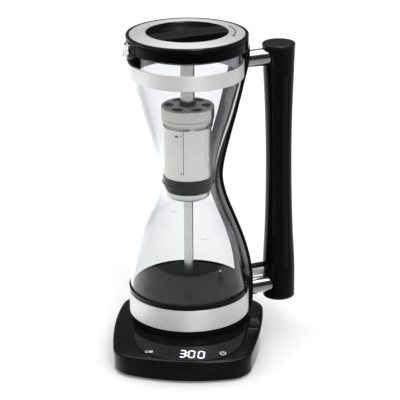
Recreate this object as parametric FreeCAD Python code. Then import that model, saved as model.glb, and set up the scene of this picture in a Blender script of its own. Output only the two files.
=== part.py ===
import FreeCAD, Part
import os, math
from FreeCAD import Vector as V

# ---------------------------------------------------------------- driving dimensions (mm)
ORIGIN_X, ORIGIN_Y = 15.962, -14.55   # centre of the whole footprint, seen from the carafe axis
CARAFE_YAW = 30.0                  # handle direction, turned from +X towards +Y

# base
BASE_HALF_W = 78.7
BASE_FRONT, BASE_BACK = -105.6, 76.5
BASE_SIDE_BOW, BASE_SIDE_Y = 480.0, 2.0
BASE_FRONT_BOW, BASE_BACK_BOW = 168.0, 200.0
CORNER_FRONT, CORNER_BACK = 28.8, 32.5
PAN_INSET, PAN_EDGE = 0.5, 3.0
CROWN_R, CROWN_Y, CROWN_Z = 600.0, -20.0, 31.5
BASE_Z0 = 1.5
SEAM_Z, SEAM_GAP = 17.5, 0.5
WALL = 2.4
PLINTH_R, PLINTH_Z = 59.5, 31.6
FOOT_PAD_R, FOOT_PAD_H = 8.0, 2.2
FOOT_PADS = [(-56.0, -78.0), (56.0, -78.0), (-56.0, 50.0), (56.0, 50.0)]
BASE_SCREWS = [(-63.0, -56.0), (63.0, -56.0), (-63.0, 30.0), (63.0, 30.0)]
DOME_R, DOME_Z = 19.3, 45.0        # male connector

# display and touch marks
WIN = (-22.0, 32.0, -98.5, -80.5)
DIGIT_Y, DIGIT_H, DIGIT_W = -97.9, 13.8, 7.2
DIGIT_TILT = 0.0

# carafe foot
SKIRT_R, SKIRT_Z0 = 61.5, 31.9
STEEL_R, STEEL_Z0, STEEL_Z1 = 63.5, 38.9, 62.55
CLAMP_Z1, CLAMP_R1 = 68.2, 63.75
PLATE_Z, PLATE_R = 67.4, 58.5

# glass vessel: height and outer radius
GLASS_WALL = 2.5
GLASS = [(66.0, 62.2), (71.0, 62.2), (76.0, 61.35), (81.0, 60.4), (91.0, 58.7), (101.0, 56.8), (111.0, 54.2),
         (121.0, 51.0), (131.0, 47.3), (141.0, 43.2), (151.0, 39.0), (161.0, 35.4), (171.0, 32.8), (181.0, 31.1),
         (191.0, 30.6), (201.0, 31.5), (211.0, 33.3), (221.0, 35.8), (231.0, 38.7), (241.0, 41.7), (251.0, 44.8),
         (261.0, 47.6), (271.0, 50.1), (281.0, 52.6), (291.0, 54.7), (301.0, 56.0), (313.0, 56.6), (327.0, 57.2),
         (339.0, 57.5)]
MOUTH_Z = 339.0
# spout: height and how far its tip reaches from the axis
SPOUT = [(312.5, 56.2), (316.0, 59.3), (319.5, 62.0), (323.4, 65.0), (325.2, 68.2), (327.2, 70.3), (333.0, 69.2), (339.0, 68.4)]
LOBE = [(313.7, 59.6), (315.6, 63.0), (319.0, 65.1), (323.5, 66.3), (327.7, 66.6)]
BAND_R, BAND_Z0, BAND_Z1 = 57.95, 297.5, 313.3
COLLAR_R, COLLAR_Z0 = 62.6, 327.5

# handle
STRAP = [(32.9, 69.6), (46.3, 70.3), (58.0, 70.4), (70.0, 69.9), (89.0, 67.4), (103.5, 63.9), (118.0, 59.4), (132.7, 53.9),
         (147.3, 48.2), (161.8, 42.5), (175.9, 38.3), (189.6, 36.3), (202.7, 37.5), (215.4, 40.2), (228.0, 43.5),
         (240.7, 47.0), (253.0, 50.6), (265.7, 54.0), (278.0, 57.2), (290.6, 60.3), (303.0, 63.5), (315.6, 65.3),
         (326.2, 65.0)]
STRAP_T, STRAP_HALF = 3.6, 16.5
GRIP_X, GRIP_LEAN = 106.05, -0.68
GRIP = [(34.0, 17.3), (52.0, 17.5), (73.0, 17.35), (95.5, 16.25), (118.0, 15.25), (140.0, 14.6), (162.0, 14.1), (184.5, 13.9),
        (207.0, 13.9), (229.0, 14.25), (251.0, 14.8), (273.0, 15.6), (295.0, 16.5), (320.0, 17.5)]
GRIP_WALL = 3.0
# standoffs: sideways offset, height, radius, where the end sits in the grip, boss radius, start of the stud
POSTS = [(0.0, 306.4, 9.3, 92.0, 5.6, 59.0), (-2.0, 50.8, 9.3, 94.6, 5.6, 65.0), (7.5, 65.2, 7.0, 98.0, 4.2, 67.2)]
POST_TOP_Z = POSTS[0][1]
INLAY_Z0, INLAY_Z1, INLAY_W = 68.0, 290.0, 8.0

# filter stack
CAP_R, CAP_TOP, CAP_SKIRT = 27.5, 266.5, 254.5
BASKET_R, BASKET_Z0, BASKET_Z1 = 24.6, 190.8, 262.0
TUBE_R, TUBE_Z0 = 5.0, 81.0
STEM_R, STEM_Z1 = 7.4, 321.0

# lid
LID_R, LID_Z0 = 62.65, 339.3
LID_TOP = 344.1
WELL_R = 42.25
WELL_FLOOR = 329.0
BAR_HALF = 12.0

Z = V(0, 0, 1)
nodes = {}


# ---------------------------------------------------------------- helpers
def cyl(r, z0, z1, x=0.0, y=0.0):
    return Part.makeCylinder(r, z1 - z0, V(x, y, z0))


def ring(r0, r1, z0, z1, x=0.0, y=0.0):
    return cyl(r1, z0, z1, x, y).cut(cyl(r0, z0 - 1, z1 + 1, x, y))


def box(x0, x1, y0, y1, z0, z1):
    return Part.makeBox(x1 - x0, y1 - y0, z1 - z0, V(x0, y0, z0))


def lathe(pts, ang=360.0):
    """closed polygon of (r, z) points turned about the vertical axis"""
    p = [V(r, 0, z) for r, z in pts]
    f = Part.Face(Part.makePolygon(p + [p[0]]))
    return f.revolve(V(0, 0, 0), Z, ang)


def curve(pts):
    b = Part.BSplineCurve()
    b.interpolate([V(r, 0, z) for z, r in pts])
    return b.toShape()


def offset_pts(pts, d):
    """move a (z, r) profile towards the axis by d, along its normal"""
    out = []
    for i, (z, r) in enumerate(pts):
        a = pts[max(i - 1, 0)]
        b = pts[min(i + 1, len(pts) - 1)]
        dz, dr = b[0] - a[0], b[1] - a[1]
        n = math.hypot(dz, dr)
        oz = 0.0 if i in (0, len(pts) - 1) else d * dr / n
        out.append((z + oz, r - d * (dz / n if 0 < i < len(pts) - 1 else 1.0)))
    return out


def turned(outer, inner=None, ang=360.0):
    """solid of revolution between an outer and an inner (z, r) profile, both smooth curves"""
    e1 = curve(outer)
    if inner is None:
        inner_edges = [Part.makeLine(V(outer[-1][1], 0, outer[-1][0]), V(0, 0, outer[-1][0])),
                       Part.makeLine(V(0, 0, outer[-1][0]), V(0, 0, outer[0][0])),
                       Part.makeLine(V(0, 0, outer[0][0]), V(outer[0][1], 0, outer[0][0]))]
        w = Part.Wire([e1] + inner_edges)
    else:
        e2 = curve(inner)
        w = Part.Wire([e1, Part.makeLine(V(outer[-1][1], 0, outer[-1][0]), V(inner[-1][1], 0, inner[-1][0])), e2,
                       Part.makeLine(V(inner[0][1], 0, inner[0][0]), V(outer[0][1], 0, outer[0][0]))])
    return Part.Face(w).revolve(V(0, 0, 0), Z, ang)


def fuse(*s):
    r = s[0]
    for k in s[1:]:
        r = r.fuse(k)
    return r.removeSplitter()


def rod_x(r, x0, x1, y, z):
    return Part.makeCylinder(r, x1 - x0, V(x0, y, z), V(1, 0, 0))


def rounded(shape, radius, pick):
    """fillet the edges that pick() accepts, or return the shape as it is"""
    e = [k for k in shape.Edges if pick(k)]
    try:
        s = shape.makeFillet(radius, e)
        if s.isValid() and s.Volume > 0:
            return s
    except Exception:
        pass
    print("fillet skipped", radius, len(e))
    return shape


def polar(r, deg):
    return r * math.cos(math.radians(deg)), r * math.sin(math.radians(deg))


# ---------------------------------------------------------------- base outline
def prism(inset, z0, z1):
    yc = BASE_SIDE_Y
    s = cyl(BASE_SIDE_BOW - inset, z0, z1, BASE_HALF_W - BASE_SIDE_BOW, yc)
    s = s.common(cyl(BASE_SIDE_BOW - inset, z0, z1, BASE_SIDE_BOW - BASE_HALF_W, yc))
    s = s.common(cyl(BASE_FRONT_BOW - inset, z0, z1, 0, BASE_FRONT + BASE_FRONT_BOW))
    s = s.common(cyl(BASE_BACK_BOW - inset, z0, z1, 0, BASE_BACK - BASE_BACK_BOW))
    fr, bk = [], []
    for e in s.Edges:
        a, b = e.Vertexes[0].Point, e.Vertexes[-1].Point
        if math.hypot(a.x - b.x, a.y - b.y) < 1e-4 and abs(a.z - b.z) > 1.0:
            (fr if a.y < yc else bk).append(e)
    s = s.makeFillet(CORNER_FRONT - inset, fr)
    bk = []
    for e in s.Edges:
        a, b = e.Vertexes[0].Point, e.Vertexes[-1].Point
        if math.hypot(a.x - b.x, a.y - b.y) < 1e-4 and abs(a.z - b.z) > 1.0 and a.y > yc and len(bk) < 9:
            near = all(math.hypot(a.x - q[0], a.y - q[1]) > 1 for q in bk)
            if near:
                bk.append((a.x, a.y, e))
    # sharp corners are the two farthest from the middle line
    bk = sorted(bk, key=lambda q: -math.hypot(q[0], q[1]))[:2]
    s = s.makeFillet(CORNER_BACK - inset, [q[2] for q in bk])
    return s


def crown(drop):
    return Part.makeSphere(CROWN_R - drop, V(0, CROWN_Y, CROWN_Z - CROWN_R))


def on_top(x, y):
    return CROWN_Z - CROWN_R + math.sqrt(CROWN_R ** 2 - x * x - (y - CROWN_Y) ** 2)


# ---------------------------------------------------------------- base shells
block = prism(0.0, SEAM_Z + SEAM_GAP / 2, 40.0).common(crown(0.0))
top_edge = [e for e in block.Edges if e.BoundBox.ZMin > SEAM_Z + 2.0 and e.Length > 1]
try:
    block_r = block.makeFillet(2.6, top_edge)
    if not block_r.isValid():
        block_r = block
except Exception:
    print("top edge left sharp")
    block_r = block
inner = prism(WALL, 10.0, 40.0).common(crown(WALL))
bosses = [cyl(4.0, 4.3, 27.0, x, y) for x, y in BASE_SCREWS]
shell = block_r.fuse(cyl(PLINTH_R, 22.0, PLINTH_Z)).cut(inner)
for b in bosses:
    shell = shell.fuse(b.common(fuse(prism(WALL - 0.4, 3.0, 40.0)).common(crown(WALL - 0.4))))
for x, y in BASE_SCREWS:
    shell = shell.cut(cyl(1.4, 4.0, 17.0, x, y))
shell = shell.cut(cyl(DOME_R + 0.2, 20.0, 40.0))
# shallow round groove that seats the carafe's skirt
wx0, wx1, wy0, wy1 = WIN


def rrect(x0, x1, y0, y1, z0, z1, r):
    s = box(x0, x1, y0, y1, z0, z1)
    return s.makeFillet(r, [e for e in s.Edges if abs(e.Vertexes[0].Z - e.Vertexes[-1].Z) > 1.0])


window = rrect(wx0, wx1, wy0, wy1, 10.0, 40.0, 2.0)
skin = block_r.cut(inner)
lens = skin.common(rrect(wx0 + 0.08, wx1 - 0.08, wy0 + 0.08, wy1 - 0.08, 10.0, 40.0, 1.92))
shell = shell.cut(window)

# marks inlaid flush in the crowned top
skin_marks = block_r.cut(crown(0.45))


def seg_prism(pts):
    p = [V(x, y, 10.0) for x, y in pts]
    return Part.Face(Part.makePolygon(p + [p[0]])).extrude(V(0, 0, 30.0))


def hseg(x0, x1, y, t):
    h = t / 2
    return [(x0, y), (x0 + h, y + h), (x1 - h, y + h), (x1, y), (x1 - h, y - h), (x0 + h, y - h)]


def vseg(x, y0, y1, t):
    h = t / 2
    return [(x, y0), (x + h, y0 + h), (x + h, y1 - h), (x, y1), (x - h, y1 - h), (x - h, y0 + h)]


T = 1.5


def digit(x, segs):
    """seven-segment digit with its left edge at x"""
    g = 0.35
    y0, y1, ym = DIGIT_Y + T / 2, DIGIT_Y + DIGIT_H - T / 2, DIGIT_Y + DIGIT_H / 2
    xl, xr = x + T / 2, x + DIGIT_W - T / 2
    alls = {"a": hseg(xl + g, xr - g, y1, T), "d": hseg(xl + g, xr - g, y0, T), "g": hseg(xl + g, xr - g, ym, T),
            "f": vseg(xl, ym + g, y1 - g, T), "b": vseg(xr, ym + g, y1 - g, T),
            "e": vseg(xl, y0 + g, ym - g, T), "c": vseg(xr, y0 + g, ym - g, T)}
    return [seg_prism(alls[k]) for k in segs]


digit_cutters = digit(-1.7, "abgcd") + digit(7.6, "abcdef") + digit(17.6, "abcdef")
digit_cutters += [cyl(0.85, 10.0, 40.0, 6.45, DIGIT_Y + 4.4), cyl(0.85, 10.0, 40.0, 6.45, DIGIT_Y + 9.4)]
digits = []
for c in digit_cutters:
    digits.append(skin_marks.common(c))
digits = Part.makeCompound([s for d in digits for s in d.Solids])
for c in digit_cutters:
    lens = lens.cut(skin_marks.common(c))

icon_cutters = [box(-37.6, -28.8, -85.9, -84.9, 10, 40), box(-37.6, -32.4, -88.4, -87.4, 10, 40), box(-31.4, -28.8, -88.4, -87.4, 10, 40),
                box(-37.6, -34.4, -90.9, -89.9, 10, 40), box(-33.4, -28.8, -90.9, -89.9, 10, 40),
                ring(2.4, 3.4, 10, 40, 43.0, -84.8).cut(box(42.2, 43.8, -84.8, -79.0, 5, 45)), box(42.6, 43.4, -84.6, -80.8, 10, 40)]
icons = []
for c in icon_cutters:
    k = skin_marks.common(c)
    icons += k.Solids
    shell = shell.cut(k)
nodes["base_top_housing"] = shell
nodes["display_lens"] = lens
nodes["display_digits"] = digits
nodes["touch_icons"] = Part.makeCompound(icons)

pan = prism(PAN_INSET, BASE_Z0, SEAM_Z - SEAM_GAP / 2)
pan = rounded(pan, PAN_EDGE, lambda e: e.BoundBox.ZMax < BASE_Z0 + 0.01)
pan = pan.cut(prism(WALL, BASE_Z0 + WALL, 40.0))
tongue = prism(WALL + 0.15, 10.0, SEAM_Z + 1.6).cut(prism(WALL + 1.6, 9.0, 40.0))
tongue = tongue.fuse(prism(WALL - 0.4, 8.0, 12.0).cut(prism(WALL + 1.6, 7.0, 40.0)))
pan = fuse(pan, tongue)
for x, y in FOOT_PADS:
    pan = pan.cut(cyl(FOOT_PAD_R + 0.1, 0.0, FOOT_PAD_H, x, y))
for x, y in BASE_SCREWS:
    pan = pan.cut(cyl(1.7, 0.0, 6.0, x, y)).cut(cyl(3.5, 0.0, 2.9, x, y))
PCB = (-64.0, -2.0 - 26.0, 18.0 - 24.0, 60.0 - 24.0)
PCB = (-66.0, -28.0, -24.0, 26.0)
CTRL = (-30.0, 38.0, -95.8, -77.0)
for x in (PCB[0] + 4, PCB[1] - 4):
    for y in (PCB[2] + 4, PCB[3] - 4):
        pan = pan.fuse(cyl(2.5, 3.5, 8.0, x, y))
for x in (CTRL[0] + 3, CTRL[1] - 3):
    for y in (CTRL[2] + 3, CTRL[3] - 3):
        pan = pan.fuse(cyl(2.0, 3.5, 15.4, x, y))
GLAND_X, GLAND_Z = -38.0, 10.0
back_y = BASE_BACK - PAN_INSET - BASE_BACK_BOW + math.sqrt(BASE_BACK_BOW ** 2 - GLAND_X ** 2)
pan = pan.cut(Part.makeCylinder(4.6, 20.0, V(GLAND_X, back_y - 10, GLAND_Z), V(0, 1, 0)))
nodes["base_bottom_cover"] = pan.removeSplitter()

g = Part.makeCylinder(4.5, 9.0, V(GLAND_X, back_y - 6.4, GLAND_Z), V(0, 1, 0))
g = g.fuse(Part.makeCylinder(5.8, 2.0, V(GLAND_X, back_y - 7.4, GLAND_Z), V(0, 1, 0)))
g = g.fuse(Part.makeCylinder(5.6, 1.6, V(GLAND_X, back_y + 1.0, GLAND_Z), V(0, 1, 0)))
nodes["cord_gland"] = g.cut(Part.makeCylinder(3.4, 20.0, V(GLAND_X, back_y - 12, GLAND_Z), V(0, 1, 0)))
nodes["foot_pads"] = Part.makeCompound([rounded(cyl(FOOT_PAD_R, 0.0, FOOT_PAD_H, x, y), 0.5, lambda e: e.BoundBox.ZMax < 0.01)
                                        for x, y in FOOT_PADS])
nodes["base_screws"] = Part.makeCompound([cyl(3.3, 1.7, 2.9, x, y).fuse(cyl(1.35, 2.9, 14.0, x, y)) for x, y in BASE_SCREWS])

nodes["power_pcb"] = box(PCB[0], PCB[1], PCB[2], PCB[3], 8.0, 9.6)
nodes["power_relay"] = box(-62.0, -44.0, 4.0, 20.0, 9.6, 22.0)
nodes["power_transformer"] = fuse(box(-60.0, -38.0, -19.0, -3.0, 9.6, 13.0), box(-57.0, -41.0, -19.0, -3.0, 13.0, 20.0))
nodes["control_pcb"] = box(CTRL[0], CTRL[1], CTRL[2], CTRL[3], 15.4, 17.0)
nodes["display_module"] = box(-10.0, 28.0, -96.5, -83.0, 17.0, 22.4)

flange_top = min(on_top(a, b) for a, b in ((22.5, 0), (-22.5, 0), (0, 22.5), (0, -22.5))) - WALL - 0.3
conn = cyl(22.5, flange_top - 2.4, flange_top).fuse(cyl(DOME_R, flange_top - 8.0, DOME_Z))
conn = rounded(conn.removeSplitter(), 2.0, lambda e: e.BoundBox.ZMin > DOME_Z - 0.01)
conn = conn.cut(ring(8.0, 11.4, 34.0, 50.0)).cut(cyl(3.4, 33.0, 50.0))
nodes["base_connector"] = conn
nodes["connector_contacts"] = Part.makeCompound([ring(8.05, 8.6, 34.05, 44.0), ring(2.6, 3.35, 33.05, 44.0)])

# ---------------------------------------------------------------- carafe foot
cc = cyl(24.0, 33.4, 50.0).cut(cyl(20.0, 30.0, 46.5)).fuse(ring(9.1, 10.3, 37.0, 47.0)).fuse(cyl(2.1, 36.0, 47.0))
nodes["carafe_connector"] = cc.removeSplitter()

foot = lathe([(SKIRT_R, SKIRT_Z0), (SKIRT_R, STEEL_Z0), (62.45, STEEL_Z0), (62.45, 62.55), (56.5, 62.55), (56.5, 60.4),
              (59.6, 60.4), (59.6, SKIRT_Z0)])
FOOT_BOSS = [polar(56.2, a) for a in (90.0, 210.0, 330.0)]
for x, y in FOOT_BOSS:
    foot = foot.fuse(cyl(4.0, 35.5, 62.0, x, y).common(cyl(60.5, 30, 70)))
for x, y in FOOT_BOSS:
    foot = foot.cut(cyl(1.4, 35.0, 52.0, x, y))
nodes["carafe_foot_shell"] = foot.removeSplitter()
plate = lathe([(24.35, 33.4), (59.4, 33.4), (59.4, 35.4), (26.4, 35.4), (26.4, 44.0), (24.35, 44.0)])
for x, y in FOOT_BOSS:
    plate = plate.cut(cyl(1.7, 30.0, 40.0, x, y)).cut(cyl(2.9, 30.0, 34.4, x, y))
nodes["foot_base_plate"] = plate
nodes["foot_screws"] = Part.makeCompound([cyl(2.7, 33.5, 34.4, x, y).fuse(cyl(1.35, 34.4, 48.0, x, y)) for x, y in FOOT_BOSS])
nodes["steel_trim_ring"] = lathe([(62.5, STEEL_Z0), (63.2, STEEL_Z0), (63.5, STEEL_Z0 + 0.3), (63.5, STEEL_Z1 - 0.3), (63.2, STEEL_Z1), (62.5, STEEL_Z1)])
nodes["lower_clamp_ring"] = lathe([(62.6, 62.6), (63.5, 62.6), (CLAMP_R1, 67.6), (CLAMP_R1, 68.0), (63.5, CLAMP_Z1), (62.6, CLAMP_Z1)])
SENSOR = polar(35.6, 23.7 - CARAFE_YAW)
hp = lathe([(0, 66.2), (57.3, 66.2), (57.3, 62.6), (62.4, 62.6), (62.4, 63.5), (58.5, 63.5), (58.5, 67.0), (58.1, PLATE_Z), (0, PLATE_Z)])
nodes["heating_plate"] = hp.cut(cyl(2.05, 50, 80, *SENSOR))
nodes["plate_gasket"] = lathe([(58.6, 63.55), (62.3, 63.55), (62.3, 65.9), (59.6, 65.9), (59.6, 67.6), (58.6, 67.6)])
nodes["heat_spreader"] = cyl(51.0, 64.2, 66.15).cut(cyl(2.3, 50, 80, *SENSOR))
c = Part.Face(Part.Wire(Part.makeCircle(4.0, V(45.5, 0, 60.15), V(0, 1, 0))))
el = c.revolve(V(0, 0, 0), Z, 318.0)
a1 = polar(45.5, 318.0)
el = el.fuse(cyl(1.7, 50.4, 59.4, 45.5, 0.0).fuse(Part.makeSphere(1.7, V(45.5, 0.0, 59.4)))).fuse(cyl(1.7, 50.4, 59.4, a1[0], a1[1]).fuse(Part.makeSphere(1.7, V(a1[0], a1[1], 59.4))))
el.rotate(V(0, 0, 0), Z, 200.0)
nodes["heating_element"] = el.removeSplitter()
nodes["thermostat_block"] = cyl(9.0, 56.2, 64.15).fuse(cyl(5.5, 50.9, 56.2)).removeSplitter()
sx, sy = SENSOR
ts = cyl(1.95, 56.4, 68.4, sx, sy).fuse(cyl(1.6, 67.4, 75.0, sx, sy)).fuse(Part.makeSphere(1.6, V(sx, sy, 75.0)))
nodes["temperature_sensor"] = ts.removeSplitter()
nodes["sensor_grommet"] = lathe([(2.0, 67.42), (4.1, 67.42), (4.1, 70.4), (3.4, 71.4), (2.0, 71.4)])
nodes["sensor_grommet"].translate(V(sx, sy, 0))


# ---------------------------------------------------------------- glass vessel with spout
def teardrop(tip, grow, z, rt=9.0, rb=17.0, xb=30.0):
    """closed outline round the spout's tip and back into the vessel"""
    ra, rbb = rt + grow, rb + grow
    xa = -(tip + grow - ra)
    d = -xa - xb
    s = (rbb - ra) / d
    cth = math.sqrt(1 - s * s)
    # tangent points on both circles
    t1, t2 = (xa + ra * s, ra * cth), (-xb + rbb * s, rbb * cth)
    tip_arc = Part.Arc(V(t1[0], t1[1], z), V(xa - ra, 0, z), V(t1[0], -t1[1], z))
    back_arc = Part.Arc(V(t2[0], -t2[1], z), V(-xb + rbb, 0, z), V(t2[0], t2[1], z))
    return Part.Wire([tip_arc.toShape(), Part.makeLine(V(t1[0], -t1[1], z), V(t2[0], -t2[1], z)), back_arc.toShape(),
                      Part.makeLine(V(t2[0], t2[1], z), V(t1[0], t1[1], z))])


def spout_solid(table, grow, ztop=None):
    ws = [teardrop(t, grow, z) for z, t in table]
    if ztop is not None:
        ws.append(teardrop(table[-1][1], grow, ztop))
    return Part.makeLoft(ws, True, True)


GLASS_LONG = [(58.0, 62.2)] + GLASS + [(347.0, 57.6)]
body_out = turned(GLASS_LONG)
body_in = turned(offset_pts([(52.0, 62.2)] + GLASS_LONG + [(353.0, 57.6)], GLASS_WALL))
sp_out = spout_solid(SPOUT, 0.0, 346.0)
sp_in = spout_solid([(z, t) for z, t in SPOUT[1:]], -2.2, 349.0)
glass = body_out.fuse(sp_out).cut(body_in).cut(sp_in).common(cyl(90.0, GLASS[0][0], MOUTH_Z))
glass = sorted(glass.Solids, key=lambda q: -q.Volume)[0]
nodes["glass_vessel"] = glass

# rim, band and collar
nodes["upper_steel_band"] = ring(BAND_R - 0.9, BAND_R, BAND_Z0, BAND_Z1)
nodes["upper_steel_band"] = rounded(nodes["upper_steel_band"], 0.3, lambda e: abs(e.BoundBox.XMax - BAND_R) < 0.01 and e.BoundBox.ZMax - e.BoundBox.ZMin < 0.1)
collar = ring(56.0, COLLAR_R, COLLAR_Z0, MOUTH_Z)
lobe = Part.makeLoft([teardrop(t, 0.0, z, rt=11.0, rb=19.0, xb=28.0) for z, t in LOBE], True, True)
collar = collar.fuse(lobe)
clear_body = turned([(z, r + 0.15) for z, r in GLASS_LONG])
clear_spout = spout_solid(SPOUT, 0.2, 345.0)
collar = collar.cut(clear_body).cut(clear_spout)
col = sorted(collar.Solids, key=lambda s: -s.Volume)
print("collar solids", [round(s.Volume) for s in col])
nodes["upper_collar"] = col[0]

# ---------------------------------------------------------------- handle
strap_out = STRAP
strap_in = offset_pts(STRAP, STRAP_T)
strap_rev = turned(strap_out, strap_in)
strap = strap_rev.common(box(20.0, 90.0, -STRAP_HALF, STRAP_HALF, 20.0, 340.0))
pad_top = rod_x(8.0, 50.0, 62.5, 0, POST_TOP_Z).cut(cyl(BAND_R + 0.05, 280, 330))
pad_low = box(55.0, 68.5, -10.0, 10.0, 41.0, 58.0).cut(cyl(STEEL_R + 0.05, 30, 62))
strap = fuse(strap, pad_top, pad_low)
strap = strap.cut(cyl(CLAMP_R1 + 0.2, 62.0, 71.5)).cut(cyl(STEEL_R + 0.04, 30, 62.0))
nodes["handle_strap"] = strap


def lean(s):
    s.rotate(V(GRIP_X, 0, 176.0), V(0, 1, 0), GRIP_LEAN)
    return s


grip_rev = turned([(z, r) for z, r in GRIP])
grip_full = grip_rev.copy()
grip_full = rounded(grip_full, 1.4, lambda e: e.Curve.TypeId == "Part::GeomCircle" and (e.BoundBox.ZMin > 319.9 or e.BoundBox.ZMax < 34.1))
hollow = turned(offset_pts([(z, r) for z, r in GRIP], GRIP_WALL))
hollow = hollow.common(cyl(30, 37.0, 317.0))
inlay_shell = turned([(z, r + 0.0) for z, r in GRIP]).cut(turned(offset_pts([(z, r) for z, r in GRIP], 1.3)))


def stadium(w, z0, z1, y0, y1):
    r = w / 2
    s = box(-r, r, y0, y1, z0 + r, z1 - r)
    s = s.fuse(Part.makeCylinder(r, y1 - y0, V(0, y0, z0 + r), V(0, 1, 0)))
    s = s.fuse(Part.makeCylinder(r, y1 - y0, V(0, y0, z1 - r), V(0, 1, 0)))
    return s.removeSplitter()


side_cut = fuse(stadium(INLAY_W + 0.3, INLAY_Z0 - 0.15, INLAY_Z1 + 0.15, -30.0, -6.0)).fuse(stadium(INLAY_W + 0.3, INLAY_Z0 - 0.15, INLAY_Z1 + 0.15, 6.0, 30.0))
side_fill = fuse(stadium(INLAY_W, INLAY_Z0, INLAY_Z1, -30.0, -6.0)).fuse(stadium(INLAY_W, INLAY_Z0, INLAY_Z1, 6.0, 30.0))
gb = grip_full.common(cyl(30, 37.0, 317.0)).cut(hollow).cut(inlay_shell.common(side_cut))
gi = inlay_shell.common(side_fill)
gt = grip_full.common(cyl(30, 317.05, 330.0)).fuse(cyl(9.0, 312.4, 317.05))
gbot = grip_full.common(cyl(30, 20.0, 36.95)).fuse(cyl(9.0, 36.95, 43.0))
core = cyl(5.0, 43.1, 310.9)
move = V(GRIP_X, 0, 0)
parts_grip = {"grip_body": gb, "grip_inlays": gi, "grip_top_cap": gt.removeSplitter(), "grip_bottom_cap": gbot.removeSplitter(), "grip_core": core}
for k in parts_grip:
    parts_grip[k].translate(move)
    parts_grip[k] = lean(parts_grip[k])
posts, studs = [], []
parts_grip["grip_core"] = parts_grip["grip_core"].fuse(box(103.0, 111.0, -4.0, 11.0, POSTS[2][1] - 4.2, POSTS[2][1] + 4.2))
for yy, zz, rr, end, rb, x0 in POSTS:
    p = rod_x(rr, 60.0, end, yy, zz)
    p = p.cut(strap_rev.common(box(20.0, 90.0, -30, 30, 20, 345)))
    p = sorted(p.Solids, key=lambda s: -s.CenterOfMass.x)[0]
    posts.append(p.cut(rod_x(2.55, 40, 120, yy, zz)))
    parts_grip["grip_body"] = parts_grip["grip_body"].cut(rod_x(rr + 0.1, 80.0, end + 0.1, yy, zz))
    parts_grip["grip_body"] = parts_grip["grip_body"].cut(rod_x(rb + 0.1, 80.0, GRIP_X - 5.0, yy, zz))
    parts_grip["grip_core"] = parts_grip["grip_core"].fuse(rod_x(rb, end, GRIP_X, yy, zz))
    studs.append(rod_x(2.5, x0, 100.0, yy, zz))
nodes["upper_standoff"] = posts[0]
nodes["lower_standoffs"] = Part.makeCompound(posts[1:])
for yy, zz, rr, end, rb, x0 in POSTS:
    hole = rod_x(2.52, x0 - 0.05, 100.1, yy, zz)
    nodes["handle_strap"] = nodes["handle_strap"].cut(hole)
    parts_grip["grip_core"] = parts_grip["grip_core"].cut(hole)
parts_grip["grip_core"] = parts_grip["grip_core"].removeSplitter()
nodes["handle_studs"] = Part.makeCompound(studs)
nodes.update(parts_grip)

# ---------------------------------------------------------------- filter stack
basket = ring(BASKET_R - 0.8, BASKET_R, BASKET_Z0, BASKET_Z1).fuse(ring(TUBE_R + 0.05, BASKET_R - 0.4, BASKET_Z0, BASKET_Z0 + 0.8))
nodes["filter_basket"] = basket.removeSplitter()
nodes["basket_collar"] = lathe([(24.65, 245.2), (25.7, 245.2), (26.0, 246.2), (25.5, 246.6), (26.3, 248.2), (25.8, 248.8), (26.6, 251.2), (26.9, 252.1), (26.9, 254.1), (24.65, 254.1)])
mesh = cyl(23.6, 193.0, 193.5)
for n, rr in ((1, 0.0), (6, 7.0), (12, 13.5), (18, 20.0)):
    for i in range(n):
        x, y = polar(rr, 360.0 * i / n)
        mesh = mesh.cut(cyl(1.1, 190, 196, x, y))
nodes["basket_mesh"] = mesh
nodes["neck_seal"] = lathe([(5.3, 174.6), (21.0, 174.6), (22.9, 175.6), (24.4, 178.0), (25.4, 181.5), (25.9, 186.0), (26.0, 189.6),
                            (27.6, 190.6), (27.6, 191.3), (26.1, 192.2), (26.1, 194.8), (26.7, 195.6), (26.7, 196.6), (26.0, 197.2),
                            (24.7, 197.2), (24.7, 190.7), (5.3, 190.7)])
nodes["lower_cap"] = lathe([(5.1, 166.9), (18.5, 166.9), (20.6, 167.5), (22.0, 168.9), (22.5, 171.0), (22.5, 174.5), (21.6, 174.5),
                            (21.5, 171.0), (20.2, 168.6), (18.3, 167.9), (7.5, 167.9), (7.5, 174.5), (5.1, 174.5)])
nodes["siphon_tube"] = ring(TUBE_R - 0.8, TUBE_R, TUBE_Z0, 192.4)
cap = lathe([(4.1, CAP_TOP - 0.9), (26.6, CAP_TOP - 0.9), (26.6, CAP_SKIRT), (27.5, CAP_SKIRT), (27.5, CAP_TOP - 0.9), (26.9, CAP_TOP), (4.1, CAP_TOP)])
for i in range(8):
    a = 45.0 * i - 25.0
    half = 13.0
    bean = ring(15.2, 20.6, CAP_TOP - 3, CAP_TOP + 3)
    wedge = Part.Face(Part.makePolygon([V(0, 0, CAP_TOP - 3), V(40 * math.cos(math.radians(a - half)), 40 * math.sin(math.radians(a - half)), CAP_TOP - 3),
                                        V(40 * math.cos(math.radians(a + half)), 40 * math.sin(math.radians(a + half)), CAP_TOP - 3), V(0, 0, CAP_TOP - 3)])).extrude(V(0, 0, 6))
    bean = bean.common(wedge)
    for s in (-1, 1):
        x, y = polar(17.9, a + s * half)
        bean = bean.fuse(cyl(2.7, CAP_TOP - 3, CAP_TOP + 3, x, y))
    cap = cap.cut(bean)
nodes["filter_cap"] = cap
nodes["cap_mesh"] = ring(8.2, 25.5, CAP_TOP - 1.6, CAP_TOP - 1.1).fuse(ring(25.0, 26.5, CAP_TOP - 2.6, CAP_TOP - 1.1)).removeSplitter()
nodes["hub_nut"] = lathe([(STEM_R * 0 + 4.1, CAP_TOP + 0.05), (8.8, CAP_TOP + 0.05), (8.8, CAP_TOP + 3.2), (8.2, CAP_TOP + 4.0), (4.1, CAP_TOP + 4.0)])
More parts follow.
